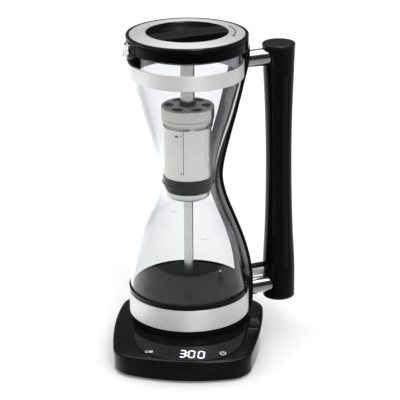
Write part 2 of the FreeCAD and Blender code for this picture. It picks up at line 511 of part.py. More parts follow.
nodes["stem_nut"] = Part.Face(Part.makePolygon([V(*polar(7.6, 60 * i), 262.2) for i in range(7)])).extrude(V(0, 0, 3.3)).cut(cyl(4.05, 260, 270))
stem = cyl(STEM_R, CAP_TOP + 4.05, STEM_Z1).cut(cyl(STEM_R - 1.0, CAP_TOP + 9.0, STEM_Z1 + 1)).fuse(cyl(4.0, 261.0, CAP_TOP + 5.0))
nodes["stem_tube"] = stem.removeSplitter()
nodes["stem_plug"] = cyl(STEM_R - 1.02, 312.0, STEM_Z1).fuse(cyl(STEM_R, STEM_Z1, STEM_Z1 + 1.2)).removeSplitter()

# ---------------------------------------------------------------- lid
lb = lathe([(LID_R, LID_Z0), (LID_R, 341.4), (62.05, 342.3), (59.15, 342.3), (59.15, 341.3), (WELL_R, 343.25), (41.6, 342.1),
            (40.3, 338.6), (37.8, 334.4), (34.3, 331.1), (30.6, 329.4), (27.0, WELL_FLOOR), (0, WELL_FLOOR), (0, WELL_FLOOR - 2.0),
            (28.0, WELL_FLOOR - 2.0), (31.8, 327.6), (36.0, 329.6), (39.9, 333.2), (42.5, 338.0), (43.8, 340.9), (50.4, 340.1),
            (50.4, 326.2), (50.4, 324.0), (54.2, 324.0), (54.2, 327.4), (52.5, 327.4), (52.5, 333.6), (54.2, 333.6), (54.2, LID_Z0)])
bar = box(-43.0, 43.0, -BAR_HALF, BAR_HALF, WELL_FLOOR - 0.5, 345.0).common(cyl(WELL_R - 0.05, 320, 350))
bar = bar.common(Part.makeCylinder(80.0, 120.0, V(-60, 0, 343.3 - 80.0), V(1, 0, 0)))
lb = lb.fuse(bar)
lb = lb.cut(box(-34.0, 34.0, -BAR_HALF + 2.0, BAR_HALF - 2.0, 320.0, 340.6))
LID_BOSS = [polar(47.0, a) for a in (60.0, 180.0, 300.0)]
for x, y in LID_BOSS:
    lb = lb.fuse(cyl(3.1, 326.2, 341.2, x, y))
for x, y in LID_BOSS:
    lb = lb.cut(cyl(1.35, 325.0, 337.0, x, y))
nodes["lid_body"] = lb.removeSplitter()
nodes["lid_steel_ring"] = lathe([(59.0, 341.4), (59.0, 342.0), (58.7, 342.25), (42.8, LID_TOP), (42.3, LID_TOP - 0.2), (42.3, 343.33)])
ic = cyl(50.2, 324.0, 326.1)
for x, y in LID_BOSS:
    ic = ic.cut(cyl(1.6, 320, 330, x, y)).cut(cyl(2.8, 320, 325.1, x, y))
nodes["lid_inner_cover"] = ic
nodes["lid_screws"] = Part.makeCompound([cyl(2.6, 324.0, 325.1, x, y).fuse(cyl(1.3, 325.1, 336.0, x, y)) for x, y in LID_BOSS])
nodes["lid_gasket"] = lathe([(52.85, 327.75), (54.0, 327.75), (54.35, 328.6), (53.9, 329.6), (54.35, 330.6), (53.9, 331.6), (54.35, 332.5), (54.0, 333.25), (52.85, 333.25)])

# ---------------------------------------------------------------- turn the carafe, move the origin, write
ROOT = {"base_bottom_cover", "base_top_housing", "display_lens", "display_module", "display_digits", "touch_icons", "control_pcb",
        "power_pcb", "power_relay", "power_transformer", "base_connector", "connector_contacts", "cord_gland", "foot_pads", "base_screws"}
os.makedirs("parts", exist_ok=True)
total = FreeCAD.BoundBox()
for name in sorted(nodes):
    s = nodes[name].copy()
    if name not in ROOT:
        s.rotate(V(0, 0, 0), Z, CARAFE_YAW)
    s.translate(V(-ORIGIN_X, -ORIGIN_Y, 0))
    total.add(s.BoundBox)
    print("%-20s valid %-5s solids %2d vol %9.1f z %.1f..%.1f" % (name, s.isValid(), len(s.Solids), s.Volume, s.BoundBox.ZMin, s.BoundBox.ZMax))
    s.exportStep("parts/%s.step" % name)
print("nodes", len(nodes), "box", [round(v, 3) for v in (total.XMin, total.YMin, total.ZMin, total.XMax, total.YMax, total.ZMax)])
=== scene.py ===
import math

import bmesh
import bpy
import numpy as np
from mathutils import Matrix, Vector
from mathutils.geometry import delaunay_2d_cdt


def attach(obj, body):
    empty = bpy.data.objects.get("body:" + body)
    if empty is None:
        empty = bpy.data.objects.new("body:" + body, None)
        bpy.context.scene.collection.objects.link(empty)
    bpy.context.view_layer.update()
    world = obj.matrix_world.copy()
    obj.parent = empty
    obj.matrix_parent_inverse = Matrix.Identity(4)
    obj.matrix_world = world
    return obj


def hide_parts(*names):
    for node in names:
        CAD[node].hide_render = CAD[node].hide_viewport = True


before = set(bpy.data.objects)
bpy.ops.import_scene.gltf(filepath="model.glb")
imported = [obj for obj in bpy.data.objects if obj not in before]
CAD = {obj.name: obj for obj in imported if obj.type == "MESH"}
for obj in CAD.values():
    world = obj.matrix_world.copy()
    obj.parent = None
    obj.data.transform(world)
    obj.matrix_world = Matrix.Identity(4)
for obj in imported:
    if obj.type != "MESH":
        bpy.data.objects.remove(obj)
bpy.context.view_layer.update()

# ------------------------------------------------------------------ places
# Lengths are written in mm. The carafe's own axis stands at (-OX, -OY) in the row frame, and its
# handle points 30 degrees round from +X.
OX, OY = 15.962, -14.55
YAW = math.radians(30.0)
GRIP_X, GRIP_LEAN = 106.05, -0.68


def to_row(v, where):
    v = np.array(v, float).reshape(-1, 3).copy()
    if where == "grip":                      # the grip's own axis, leaning a little to the carafe
        a = math.radians(GRIP_LEAN)
        x, z = v[:, 0].copy(), v[:, 2] - 176.0
        v[:, 0] = GRIP_X + x * math.cos(a) + z * math.sin(a)
        v[:, 2] = 176.0 - x * math.sin(a) + z * math.cos(a)
    if where in ("carafe", "grip"):
        x, y = v[:, 0].copy(), v[:, 1].copy()
        v[:, 0] = x * math.cos(YAW) - y * math.sin(YAW)
        v[:, 1] = x * math.sin(YAW) + y * math.cos(YAW)
    v[:, 0] -= OX
    v[:, 1] -= OY
    return v / 1000.0


# ------------------------------------------------------------------ camera
def make_camera():
    f_px, pitch, roll, head = 1733.55, math.radians(20.6656), math.radians(-0.30442), math.radians(5.75) - 0.00715367
    fx, fy = -math.sin(head), math.cos(head)
    right = Vector((fy, -fx, 0.0))
    fwd = Vector((fx * math.cos(pitch), fy * math.cos(pitch), -math.sin(pitch)))
    up = Vector((fx * math.sin(pitch), fy * math.sin(pitch), math.cos(pitch)))
    r2 = right * math.cos(roll) + up * math.sin(roll)
    u2 = up * math.cos(roll) - right * math.sin(roll)
    cam = bpy.data.cameras.new("camera")
    ob = bpy.data.objects.new("camera", cam)
    bpy.context.scene.collection.objects.link(ob)
    m = Matrix.Identity(4)
    for i in range(3):
        m[i][0], m[i][1], m[i][2] = r2[i], u2[i], -fwd[i]
    m[0][3], m[1][3], m[2][3] = 0.1544178, -1.6774935, 0.8031
    ob.matrix_world = m
    cam.lens = 36.0 * f_px / 400.0
    cam.sensor_width = 36.0
    cam.clip_start, cam.clip_end = 0.05, 60.0
    cam.dof.use_dof = False
    bpy.context.scene.camera = ob


make_camera()
bpy.context.scene.view_settings.view_transform = "Standard"


# ------------------------------------------------------------------ node helpers
class Mat:
    """A node material with short ways to add procedural detail."""

    def __init__(self, name, **inputs):
        self.m = bpy.data.materials.new(name)
        self.m.use_nodes = True
        self.t = self.m.node_tree
        self.b = self.t.nodes["Principled BSDF"]
        for k, v in inputs.items():
            k = k.replace("_", " ")
            self.b.inputs[k].default_value = v

    def new(self, kind, **sets):
        n = self.t.nodes.new("ShaderNode" + kind)
        for k, v in sets.items():
            if hasattr(n, k):
                setattr(n, k, v)
            else:
                n.inputs[k.replace("_", " ")].default_value = v
        return n

    def link(self, a, b):
        self.t.links.new(a, b)

    def coords(self, scale=(1.0, 1.0, 1.0), where=(0.0, 0.0, 0.0)):
        c = self.new("TexCoord")
        mp = self.new("Mapping")
        mp.inputs["Scale"].default_value = scale
        mp.inputs["Location"].default_value = where
        self.link(c.outputs["Object"], mp.inputs["Vector"])
        return mp.outputs["Vector"]

    def polar(self, centre, ka, kz, kr):
        """(angle * ka, z * kz, radius * kr) about a vertical axis, in metres and radians"""
        c = self.new("TexCoord")
        s = self.new("SeparateXYZ")
        self.link(c.outputs["Object"], s.inputs[0])
        x = self.math("SUBTRACT", s.outputs[0], centre[0])
        y = self.math("SUBTRACT", s.outputs[1], centre[1])
        ang = self.math("ARCTAN2", y, x)
        r2 = self.math("ADD", self.math("MULTIPLY", x, x), self.math("MULTIPLY", y, y))
        rad = self.math("SQRT", r2)
        cb = self.new("CombineXYZ")
        self.link(self.math("MULTIPLY", ang, ka), cb.inputs[0])
        self.link(self.math("MULTIPLY", s.outputs[2], kz), cb.inputs[1])
        self.link(self.math("MULTIPLY", rad, kr), cb.inputs[2])
        return cb.outputs[0]

    def math(self, op, a, b=None):
        n = self.new("Math", operation=op)
        for i, v in enumerate((a, b)):
            if v is None:
                continue
            if isinstance(v, (int, float)):
                n.inputs[i].default_value = v
            else:
                self.link(v, n.inputs[i])
        return n.outputs[0]

    def noise(self, vec, scale=1.0, detail=2.0, rough=0.5, distortion=0.0):
        n = self.new("TexNoise")
        n.inputs["Scale"].default_value = scale
        n.inputs["Detail"].default_value = detail
        n.inputs["Roughness"].default_value = rough
        n.inputs["Distortion"].default_value = distortion
        self.link(vec, n.inputs["Vector"])
        return n.outputs["Fac"]

    def span(self, fac, a, b, lo=0.3, hi=0.7):
        n = self.new("MapRange")
        n.inputs["From Min"].default_value = lo
        n.inputs["From Max"].default_value = hi
        n.inputs["To Min"].default_value = a
        n.inputs["To Max"].default_value = b
        self.link(fac, n.inputs["Value"])
        return n.outputs["Result"]

    def ramp(self, fac, stops):
        n = self.new("ValToRGB")
        e = n.color_ramp.elements
        while len(e) > 1:
            e.remove(e[-1])
        e[0].position, e[0].color = stops[0][0], (*stops[0][1], 1.0)
        for p, c in stops[1:]:
            k = e.new(p)
            k.color = (*c, 1.0)
        self.link(fac, n.inputs["Fac"])
        return n.outputs["Color"]

    def bump(self, height, strength, dist):
        n = self.new("Bump")
        n.inputs["Strength"].default_value = strength
        n.inputs["Distance"].default_value = dist
        self.link(height, n.inputs["Height"])
        last = self.b.inputs["Normal"]
        if last.is_linked:
            self.link(last.links[0].from_socket, n.inputs["Normal"])
        self.link(n.outputs["Normal"], self.b.inputs["Normal"])

    def rough(self, sock):
        self.link(sock, self.b.inputs["Roughness"])

    def color(self, sock):
        self.link(sock, self.b.inputs["Base Color"])


AX = (-OX / 1000.0, -OY / 1000.0)      # the carafe's axis in the row frame


def grey(v):
    return (v, v, v)


def black_plastic(name, base, r0, r1, peel=0.02, spec=0.5, coat=0.0, tint=(1.0, 1.0, 1.06)):
    k = Mat(name, Metallic=0.0)
    k.b.inputs["Specular IOR Level"].default_value = spec
    if coat:
        k.b.inputs["Coat Weight"].default_value = coat
        k.b.inputs["Coat Roughness"].default_value = 0.03
    v = k.coords()
    big = k.noise(v, 35.0, 3.0)
    k.color(k.ramp(big, [(0.25, tuple(base * 0.85 * t for t in tint)), (0.75, tuple(base * 1.15 * t for t in tint))]))
    fine = k.noise(v, 900.0, 2.0)
    k.rough(k.span(k.math("ADD", k.math("MULTIPLY", big, 0.6), k.math("MULTIPLY", fine, 0.4)), r0, r1))
    k.bump(k.noise(v, 420.0, 2.0), peel, 0.0002)
    return k.m


def brushed(name, base, r0, r1, kind="round", aniso=0.6, line=0.05, centre=AX, turn=0.25, metal=1.0):
    """steel brushed round its axis: fine lines along the turn, a little uneven in tone"""
    k = Mat(name, Metallic=metal)
    k.b.inputs["Anisotropic"].default_value = aniso
    if kind == "round":
        v = k.polar(centre, 1.2, 2600.0, 2600.0)
        w = k.polar(centre, 5.0, 260.0, 260.0)
    else:
        v = k.coords((2600.0, 2600.0, 60.0))
        w = k.coords((260.0, 260.0, 12.0))
    fine = k.noise(v, 1.0, 3.0, 0.6)
    soft = k.noise(w, 1.0, 2.0, 0.5)
    both = k.math("ADD", k.math("MULTIPLY", fine, 0.65), k.math("MULTIPLY", soft, 0.35))
    k.color(k.ramp(both, [(0.25, tuple(0.9 * c for c in base)), (0.75, base)]))
    k.rough(k.span(both, r0, r1))
    k.bump(fine, line, 0.00005)
    if kind == "round":
        t = k.new("Tangent", direction_type="RADIAL", axis="Z")
        k.link(t.outputs[0], k.b.inputs["Tangent"])
        k.b.inputs["Anisotropic Rotation"].default_value = turn
    return k.m


def make_materials():
    M = {}
    M["gloss_black"] = black_plastic("gloss_black", 0.0052, 0.05, 0.10, 0.012, spec=0.16)
    M["satin_black"] = black_plastic("satin_black", 0.0040, 0.28, 0.38, 0.08, spec=0.2)
    M["hidden_black"] = black_plastic("hidden_black", 0.02, 0.4, 0.55, 0.1)
    M["grip_black"] = black_plastic("grip_black", 0.0036, 0.10, 0.18, 0.03, spec=0.12)
    M["grip_cap"] = black_plastic("grip_cap", 0.006, 0.30, 0.42, 0.10, spec=0.3)
    M["inlay"] = black_plastic("inlay", 0.0035, 0.22, 0.3, 0.05, spec=0.2)
    M["collar_black"] = black_plastic("collar_black", 0.0012, 0.06, 0.12, 0.02, spec=0.10)
    M["bowl_black"] = black_plastic("bowl_black", 0.004, 0.42, 0.52, 0.04, spec=0.14)
    M["lid_black"] = black_plastic("lid_black", 0.0024, 0.14, 0.22, 0.04, spec=0.22)
    M["strap_black"] = black_plastic("strap_black", 0.0020, 0.07, 0.12, 0.02, spec=0.14)
    # lighter grey copy of the strap's black, for its inward faces: painted light where they are seen through the glass
    M["strap_grey"] = black_plastic("strap_grey", 0.045, 0.30, 0.40, 0.05, spec=0.3, tint=(0.92, 1.0, 1.18))
    M["seal"] = black_plastic("seal_rubber", 0.0015, 0.26, 0.40, 0.08, spec=0.10, tint=(0.85, 1.0, 1.35))
    M["foot_rubber"] = black_plastic("foot_rubber", 0.012, 0.6, 0.8, 0.2)
    M["smoked_lens"] = black_plastic("smoked_lens", 0.0015, 0.03, 0.06, 0.004, spec=0.16)
    M["component"] = black_plastic("component_black", 0.02, 0.35, 0.5, 0.05)
    M["brushed_steel"] = brushed("brushed_steel", (0.97, 0.97, 0.96), 0.46, 0.58, aniso=0.7, metal=0.65)
    M["satin_steel"] = brushed("satin_steel", (0.88, 0.87, 0.835), 0.34, 0.44, aniso=0.4, line=0.03, metal=0.8)
    # near-white steel, mostly diffuse: painted light that makes the probe's tip and the filter cap's top read bright
    M["cap_steel_painted_light"] = brushed("cap_steel_painted_light", (0.97, 0.97, 0.94), 0.32, 0.42, aniso=0.0, line=0.03, metal=0.25)
    M["cup_steel"] = brushed("cap_side_steel", (0.54, 0.53, 0.50), 0.20, 0.28, aniso=0.3, line=0.03)
    M["lid_steel"] = brushed("lid_steel", (0.64, 0.64, 0.635), 0.46, 0.58, aniso=0.3, metal=0.7)
    M["seam_steel"] = brushed("seam_steel", (0.16, 0.16, 0.155), 0.34, 0.46, aniso=0.2, line=0.03)
    M["tube_steel"] = brushed("tube_steel", (0.64, 0.63, 0.60), 0.14, 0.22, aniso=0.2, line=0.02)
    # a darker copy of the tube's steel for the stem: painted shade on the stem up under the lid
    M["stem_steel"] = brushed("stem_steel", (0.44, 0.43, 0.41), 0.14, 0.22, aniso=0.2, line=0.02)
    # the cap's mesh, near-black: painted shade where it shows through the cap's holes
    M["gauze"] = brushed("filter_gauze_painted_shade", (0.03, 0.03, 0.03), 0.4, 0.55, aniso=0.0, line=0.2)
    M["print_dark"] = black_plastic("print_dark", 0.012, 0.4, 0.55, 0.01)
    M["aluminium"] = brushed("aluminium", (0.75, 0.75, 0.75), 0.35, 0.5, aniso=0.2)

    k = Mat("chrome", Metallic=1.0)
    v = k.coords()
    k.color(k.ramp(k.noise(v, 60.0, 2.0), [(0.3, (0.74, 0.75, 0.77)), (0.7, (0.80, 0.81, 0.83))]))
    k.rough(k.span(k.noise(v, 300.0, 2.0), 0.05, 0.09))
    M["chrome"] = k.m

    k = Mat("zinc", Metallic=1.0)
    v = k.coords()
    k.color(k.ramp(k.noise(v, 300.0, 2.0), [(0.3, (0.55, 0.56, 0.58)), (0.7, (0.66, 0.67, 0.69))]))
    k.rough(k.span(k.noise(v, 700.0, 2.0), 0.28, 0.42))
    M["zinc"] = k.m

    k = Mat("brass", Metallic=1.0)
    v = k.coords()
    k.color(k.ramp(k.noise(v, 300.0, 2.0), [(0.3, (0.66, 0.50, 0.24)), (0.7, (0.74, 0.58, 0.30))]))
    k.rough(k.span(k.noise(v, 700.0, 2.0), 0.22, 0.35))
    M["brass"] = k.m

    k = Mat("board", Metallic=0.0)
    v = k.coords()
    k.color(k.ramp(k.noise(v, 500.0, 3.0), [(0.35, (0.01, 0.07, 0.03)), (0.65, (0.02, 0.12, 0.05))]))
    k.rough(k.span(k.noise(v, 700.0, 2.0), 0.35, 0.5))
    M["board"] = k.m

    k = Mat("plate_steel", Metallic=0.0)
    k.b.inputs["Specular IOR Level"].default_value = 0.5
    w = k.polar(AX, 2.0, 900.0, 900.0)
    k.color(k.ramp(k.noise(w, 1.0, 2.0), [(0.3, (0.009, 0.010, 0.012)), (0.7, (0.014, 0.015, 0.018))]))
    k.rough(k.span(k.noise(w, 1.0, 2.0), 0.05, 0.09))
    M["plate_steel"] = k.m

    # clear glass, deeper in tone where it is seen edge-on, through more of its own thickness; a table by height also
    # paints shade into its colour, a band between 118 and 180 mm and more from 200 mm up
    k = Mat("glass", Roughness=0.0, IOR=1.37)
    k.b.inputs["Transmission Weight"].default_value = 1.0
    v = k.coords()
    lw = k.new("LayerWeight", Blend=0.5)
    c = k.new("TexCoord")
    sx = k.new("SeparateXYZ")
    k.link(c.outputs["Object"], sx.inputs[0])
    # painted shade: darker bands by height, not from the glass's thickness
    painted_shade_by_height = k.ramp(k.math("DIVIDE", sx.outputs[2], 0.344), [(z / 344.0, grey(t)) for z, t in (
        (60, 0.0), (118, 0.0), (132, 0.16), (145, 0.38), (158, 0.26), (168, 0.05), (180, 0.0), (200, 0.0), (212, 0.12), (226, 0.30), (245, 0.42), (320, 0.42))])
    edge_and_painted_shade = k.math("ADD", k.math("ADD", lw.outputs["Facing"], painted_shade_by_height), k.span(k.noise(v, 14.0, 2.0), -0.02, 0.02))
    k.color(k.ramp(edge_and_painted_shade, [(0.0, (0.945, 0.955, 0.96)), (0.35, (0.935, 0.945, 0.955)), (0.55, (0.90, 0.91, 0.925)), (0.72, (0.88, 0.89, 0.905)), (0.88, (0.72, 0.73, 0.745)), (1.0, (0.48, 0.49, 0.505))]))
    M["glass"] = k.m

    k = Mat("clear_seal", Roughness=0.35, IOR=1.42)
    k.b.inputs["Transmission Weight"].default_value = 0.4
    v = k.coords()
    k.color(k.ramp(k.noise(v, 200.0, 2.0), [(0.3, (0.70, 0.71, 0.72)), (0.7, (0.80, 0.80, 0.80))]))
    M["clear_seal"] = k.m

    k = Mat("lit_marks", Roughness=0.4)
    v = k.coords()
    k.color(k.ramp(k.noise(v, 700.0, 2.0), [(0.3, (0.80, 0.80, 0.88)), (0.7, (0.9, 0.9, 1.0))]))
    k.b.inputs["Emission Color"].default_value = (0.86, 0.86, 1.0, 1.0)
    k.b.inputs["Emission Strength"].default_value = 0.9
    M["lit_marks"] = k.m

    k = Mat("icon_marks", Roughness=0.4)
    v = k.coords()
    k.color(k.ramp(k.noise(v, 700.0, 2.0), [(0.3, (0.45, 0.45, 0.48)), (0.7, (0.55, 0.55, 0.58))]))
    k.b.inputs["Emission Color"].default_value = (0.9, 0.9, 1.0, 1.0)
    k.b.inputs["Emission Strength"].default_value = 0.25
    M["icon_marks"] = k.m

    k = Mat("print_grey", Roughness=0.5)
    v = k.coords()
    k.color(k.ramp(k.noise(v, 1500.0, 2.0), [(0.3, (0.46, 0.47, 0.47)), (0.7, (0.54, 0.55, 0.55))]))
    M["print_grey"] = k.m
    return M


M = make_materials()


# ------------------------------------------------------------------ stage
def make_stage():
    # floor
    me = bpy.data.meshes.new("floor")
    s = 9.0
    me.from_pydata([(-s, -s, 0), (s, -s, 0), (s, s, 0), (-s, s, 0)], [], [(0, 1, 2, 3)])
    ob = bpy.data.objects.new("floor", me)
    bpy.context.scene.collection.objects.link(ob)
    k = Mat("floor_paint", Roughness=0.9)
    k.b.inputs["Specular IOR Level"].default_value = 0.0
    v = k.coords()
    k.color(k.ramp(k.noise(v, 3.0, 2.0), [(0.3, (0.67, 0.67, 0.67)), (0.7, (0.69, 0.69, 0.69))]))
    k.b.inputs["Emission Color"].default_value = (1.0, 1.0, 1.0, 1.0)
    k.b.inputs["Emission Strength"].default_value = 0.10
    me.materials.append(k.m)
    ob.visible_glossy = False

    w = bpy.data.worlds.new("studio")
    bpy.context.scene.world = w
    w.use_nodes = True
    t = w.node_tree
    t.nodes.clear()
    out = t.nodes.new("ShaderNodeOutputWorld")
    bg = t.nodes.new("ShaderNodeBackground")
    white = t.nodes.new("ShaderNodeBackground")
    white.inputs["Color"].default_value = (1, 1, 1, 1)
    white.inputs["Strength"].default_value = 1.1
    lp = t.nodes.new("ShaderNodeLightPath")
    mix = t.nodes.new("ShaderNodeMixShader")
    tc = t.nodes.new("ShaderNodeTexCoord")
    sep = t.nodes.new("ShaderNodeSeparateXYZ")
    t.links.new(tc.outputs["Generated"], sep.inputs[0])
    # brightness by height above the horizon: sin(elevation) from -1 to 1 is mapped to 0..1
    mp = t.nodes.new("ShaderNodeMapRange")
    mp.inputs["From Min"].default_value = -1.0
    mp.inputs["From Max"].default_value = 1.0
    t.links.new(sep.outputs[2], mp.inputs["Value"])

    def table(source, stops, scale):
        """a soft table of values along a socket that runs from 0 to 1"""
        n = t.nodes.new("ShaderNodeValToRGB")
        e = n.color_ramp.elements
        while len(e) > 1:
            e.remove(e[-1])
        e[0].position, e[0].color = stops[0][0], (*grey(stops[0][1] / scale), 1)
        for p, val in stops[1:]:
            e.new(p).color = (*grey(val / scale), 1)
        t.links.new(source, n.inputs["Fac"])
        return n.outputs["Color"]

    def op(kind, a, b, c=None):
        n = t.nodes.new("ShaderNodeMath")
        n.operation = kind
        for i, v in enumerate((a, b, c)):
            if isinstance(v, (int, float)):
                n.inputs[i].default_value = v
            elif v is not None:
                t.links.new(v, n.inputs[i])
        return n.outputs[0]

    def up(deg):
        return (math.sin(math.radians(deg)) + 1.0) / 2.0

    def round_(deg):
        return (deg + 180.0) / 360.0

    # by height: bright overhead, a dark band round the horizon, pale below
    top = 3.2
    high = table(mp.outputs["Result"], [(up(d), v) for d, v in ((-90, 1.05), (-12, 1.0), (-6, 0.60), (0, 0.10), (34, 0.10), (44, 0.45), (52, 2.3), (64, top), (90, top))], top)
    # by direction, 0 in front and to the right positive: dark towards the front, pale behind and to the left
    turn = op("DIVIDE", op("ADD", op("ARCTAN2", sep.outputs[0], op("MULTIPLY", sep.outputs[1], -1.0)), math.pi), 2 * math.pi)
    way = table(turn, [(round_(d), v) for d, v in ((-180, 1.4), (-150, 1.9), (-100, 1.9), (-76, 1.1), (-50, 0.42), (-30, 0.2), (0, 0.15), (32, 0.15), (48, 0.28), (72, 0.45), (100, 0.50), (140, 0.8), (180, 1.4))], 2.0)
    over = t.nodes.new("ShaderNodeMapRange")
    over.interpolation_type = "SMOOTHSTEP"
    over.inputs["From Min"].default_value = 0.64
    over.inputs["From Max"].default_value = 0.90
    t.links.new(sep.outputs[2], over.inputs["Value"])
    w1 = op("MULTIPLY", op("MULTIPLY", way, 2.0), op("SUBTRACT", 1.0, over.outputs["Result"]))
    w2 = op("MULTIPLY", over.outputs["Result"], 1.1)
    room = op("MULTIPLY", op("MULTIPLY", high, top), op("ADD", w1, w2))
    # a tall soft box in front, to the right of the camera
    boxa = table(turn, [(round_(d), v) for d, v in ((-180, 0.0), (8, 0.0), (19, 1.0), (35, 1.0), (46, 0.0), (180, 0.0))], 1.0)
    boxe = table(mp.outputs["Result"], [(up(d), v) for d, v in ((-90, 0.0), (27, 0.0), (35, 1.0), (58, 1.0), (66, 0.0), (90, 0.0))], 1.0)
    seen = op("ADD", room, op("MULTIPLY", op("MULTIPLY", boxa, boxe), 10.0))
    # what lights matt surfaces is an even room, without the dark band
    even = op("MULTIPLY", table(mp.outputs["Result"], [(up(d), v) for d, v in ((-90, 0.95), (0, 1.05), (34, 1.15), (50, 1.8), (90, 1.8))], 2.0), 2.0)
    matt = op("GREATER_THAN", lp.outputs["Diffuse Depth"], 0.5)
    t.links.new(op("ADD", seen, op("MULTIPLY", matt, op("SUBTRACT", even, seen))), bg.inputs["Strength"])
    t.links.new(lp.outputs["Is Camera Ray"], mix.inputs["Fac"])
    t.links.new(bg.outputs[0], mix.inputs[1])
    t.links.new(white.outputs[0], mix.inputs[2])
    t.links.new(mix.outputs[0], out.inputs["Surface"])


make_stage()


# ------------------------------------------------------------------ mesh helpers
def piece(name, verts, faces, body, where=None, mats=(), face_mats=None, nodes=(), sharp=35.0, fix=True, merge=True):
    """a mesh piece from mm points: placed, cleaned, shaded smooth with sharp edges kept, riding on a body"""
    v = to_row(verts, where) if where else np.array(verts, float) / 1000.0
    me = bpy.data.meshes.new(name)
    me.from_pydata([tuple(p) for p in v], [], [tuple(int(i) for i in f) for f in faces])
    if face_mats is not None:
        me.polygons.foreach_set("material_index", np.array(face_mats, np.int32))
    bm = bmesh.new()
    bm.from_mesh(me)
    if merge:
        bmesh.ops.remove_doubles(bm, verts=bm.verts, dist=1e-6)
    if fix:
        bmesh.ops.recalc_face_normals(bm, faces=bm.faces)
    lim = math.radians(sharp)
    for f in bm.faces:
        f.smooth = True
    for e in bm.edges:
        if len(e.link_faces) == 2:
            e.smooth = e.calc_face_angle(0.0) < lim
    bm.to_mesh(me)
    bm.free()
    ob = bpy.data.objects.new(name, me)
    bpy.context.scene.collection.objects.link(ob)
    for m in mats:
        me.materials.append(M[m] if isinstance(m, str) else m)
    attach(ob, body)
    if nodes:
        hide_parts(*nodes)
    return ob


def rounded(pts, n=6):
    """polygon of (x, y, radius) with its corners rounded by arcs of n steps"""
    out = []
    m = len(pts)
    for i in range(m):
        x, y, r = pts[i]
        ax, ay, _ = pts[i - 1]
        bx, by, _ = pts[(i + 1) % m]
        if r <= 0:
            out.append((x, y))
            continue
        ua = np.array([ax - x, ay - y])
        ub = np.array([bx - x, by - y])
        la, lb = np.linalg.norm(ua), np.linalg.norm(ub)
        ua, ub = ua / la, ub / lb
        c = float(np.clip(ua @ ub, -1, 1))
        half = math.acos(c) / 2
        if abs(math.pi / 2 - half) < 1e-3:
            out.append((x, y))
            continue
        t = min(r / math.tan(half), 0.49 * la, 0.49 * lb)
        rr = t * math.tan(half)
        cen = np.array([x, y]) + (ua + ub) / np.linalg.norm(ua + ub) * rr / math.sin(half)
        p0 = np.array([x, y]) + ua * t
        p1 = np.array([x, y]) + ub * t
        a0 = math.atan2(p0[1] - cen[1], p0[0] - cen[0])
        a1 = math.atan2(p1[1] - cen[1], p1[0] - cen[0])
        d = (a1 - a0 + math.pi) % (2 * math.pi) - math.pi
        for k in range(n + 1):
            a = a0 + d * k / n
            out.append((cen[0] + rr * math.cos(a), cen[1] + rr * math.sin(a)))
    return out


def spin(prof, n=192, closed=True, xy=(0.0, 0.0), z_extra=None):
    """turned body from (r, z) points"""
    verts, faces, idx = [], [], []
    for r, z in prof:
        if r < 1e-6:
            idx.append([len(verts)])
            verts.append((xy[0], xy[1], z))
        else:
            idx.append(list(range(len(verts), len(verts) + n)))
            for k in range(n):
                a = 2 * math.pi * k / n
                verts.append((xy[0] + r * math.cos(a), xy[1] + r * math.sin(a), z))
    m = len(prof)
    for i in range(m if closed else m - 1):
        A, B = idx[i], idx[(i + 1) % m]
        if len(A) == 1 and len(B) == 1:
            continue
        for k in range(n):
            k2 = (k + 1) % n
            if len(A) == 1:
                faces.append((A[0], B[k], B[k2]))
            elif len(B) == 1:
                faces.append((A[k], B[0], A[k2]))
            else:
                faces.append((A[k], A[k2], B[k2], B[k]))
    return verts, faces


def join(*parts):
    """several (verts, faces) lists as one"""
    V, F = [], []
    for v, f in parts:
        o = len(V)
        V += [tuple(p) for p in v]
        F += [tuple(i + o for i in q) for q in f]
    return V, F


def pchip(xs, ys):
    """smooth monotone interpolation"""
    xs, ys = np.array(xs, float), np.array(ys, float)
    h = np.diff(xs)
    d = np.diff(ys) / h
    m = np.zeros_like(ys)
    m[1:-1] = np.where(d[:-1] * d[1:] > 0, 2 * d[:-1] * d[1:] / (d[:-1] + d[1:] + 1e-12), 0.0)
    m[0], m[-1] = d[0], d[-1]

    def f(x):
        x = np.asarray(x, float)
        i = np.clip(np.searchsorted(xs, x) - 1, 0, len(h) - 1)
        t = (x - xs[i]) / h[i]
        return (ys[i] * (1 + 2 * t) * (1 - t) ** 2 + m[i] * h[i] * t * (1 - t) ** 2
                + ys[i + 1] * t * t * (3 - 2 * t) + m[i + 1] * h[i] * t * t * (t - 1))
    return f


def spline(xs, ys):
    """natural cubic spline through the points"""
    xs, ys = np.array(xs, float), np.array(ys, float)
    n = len(xs)
    h = np.diff(xs)
    A = np.zeros((n, n))
    b = np.zeros(n)
    A[0, 0] = A[-1, -1] = 1
    for i in range(1, n - 1):
        A[i, i - 1], A[i, i], A[i, i + 1] = h[i - 1], 2 * (h[i - 1] + h[i]), h[i]
        b[i] = 6 * ((ys[i + 1] - ys[i]) / h[i] - (ys[i] - ys[i - 1]) / h[i - 1])
    mm = np.linalg.solve(A, b)

    def f(x):
        x = np.asarray(x, float)
        i = np.clip(np.searchsorted(xs, x) - 1, 0, n - 2)
        a, c = xs[i + 1] - x, x - xs[i]
        return (mm[i] * a ** 3 + mm[i + 1] * c ** 3) / (6 * h[i]) + (ys[i] / h[i] - mm[i] * h[i] / 6) * a + (ys[i + 1] / h[i] - mm[i + 1] * h[i] / 6) * c
    return f


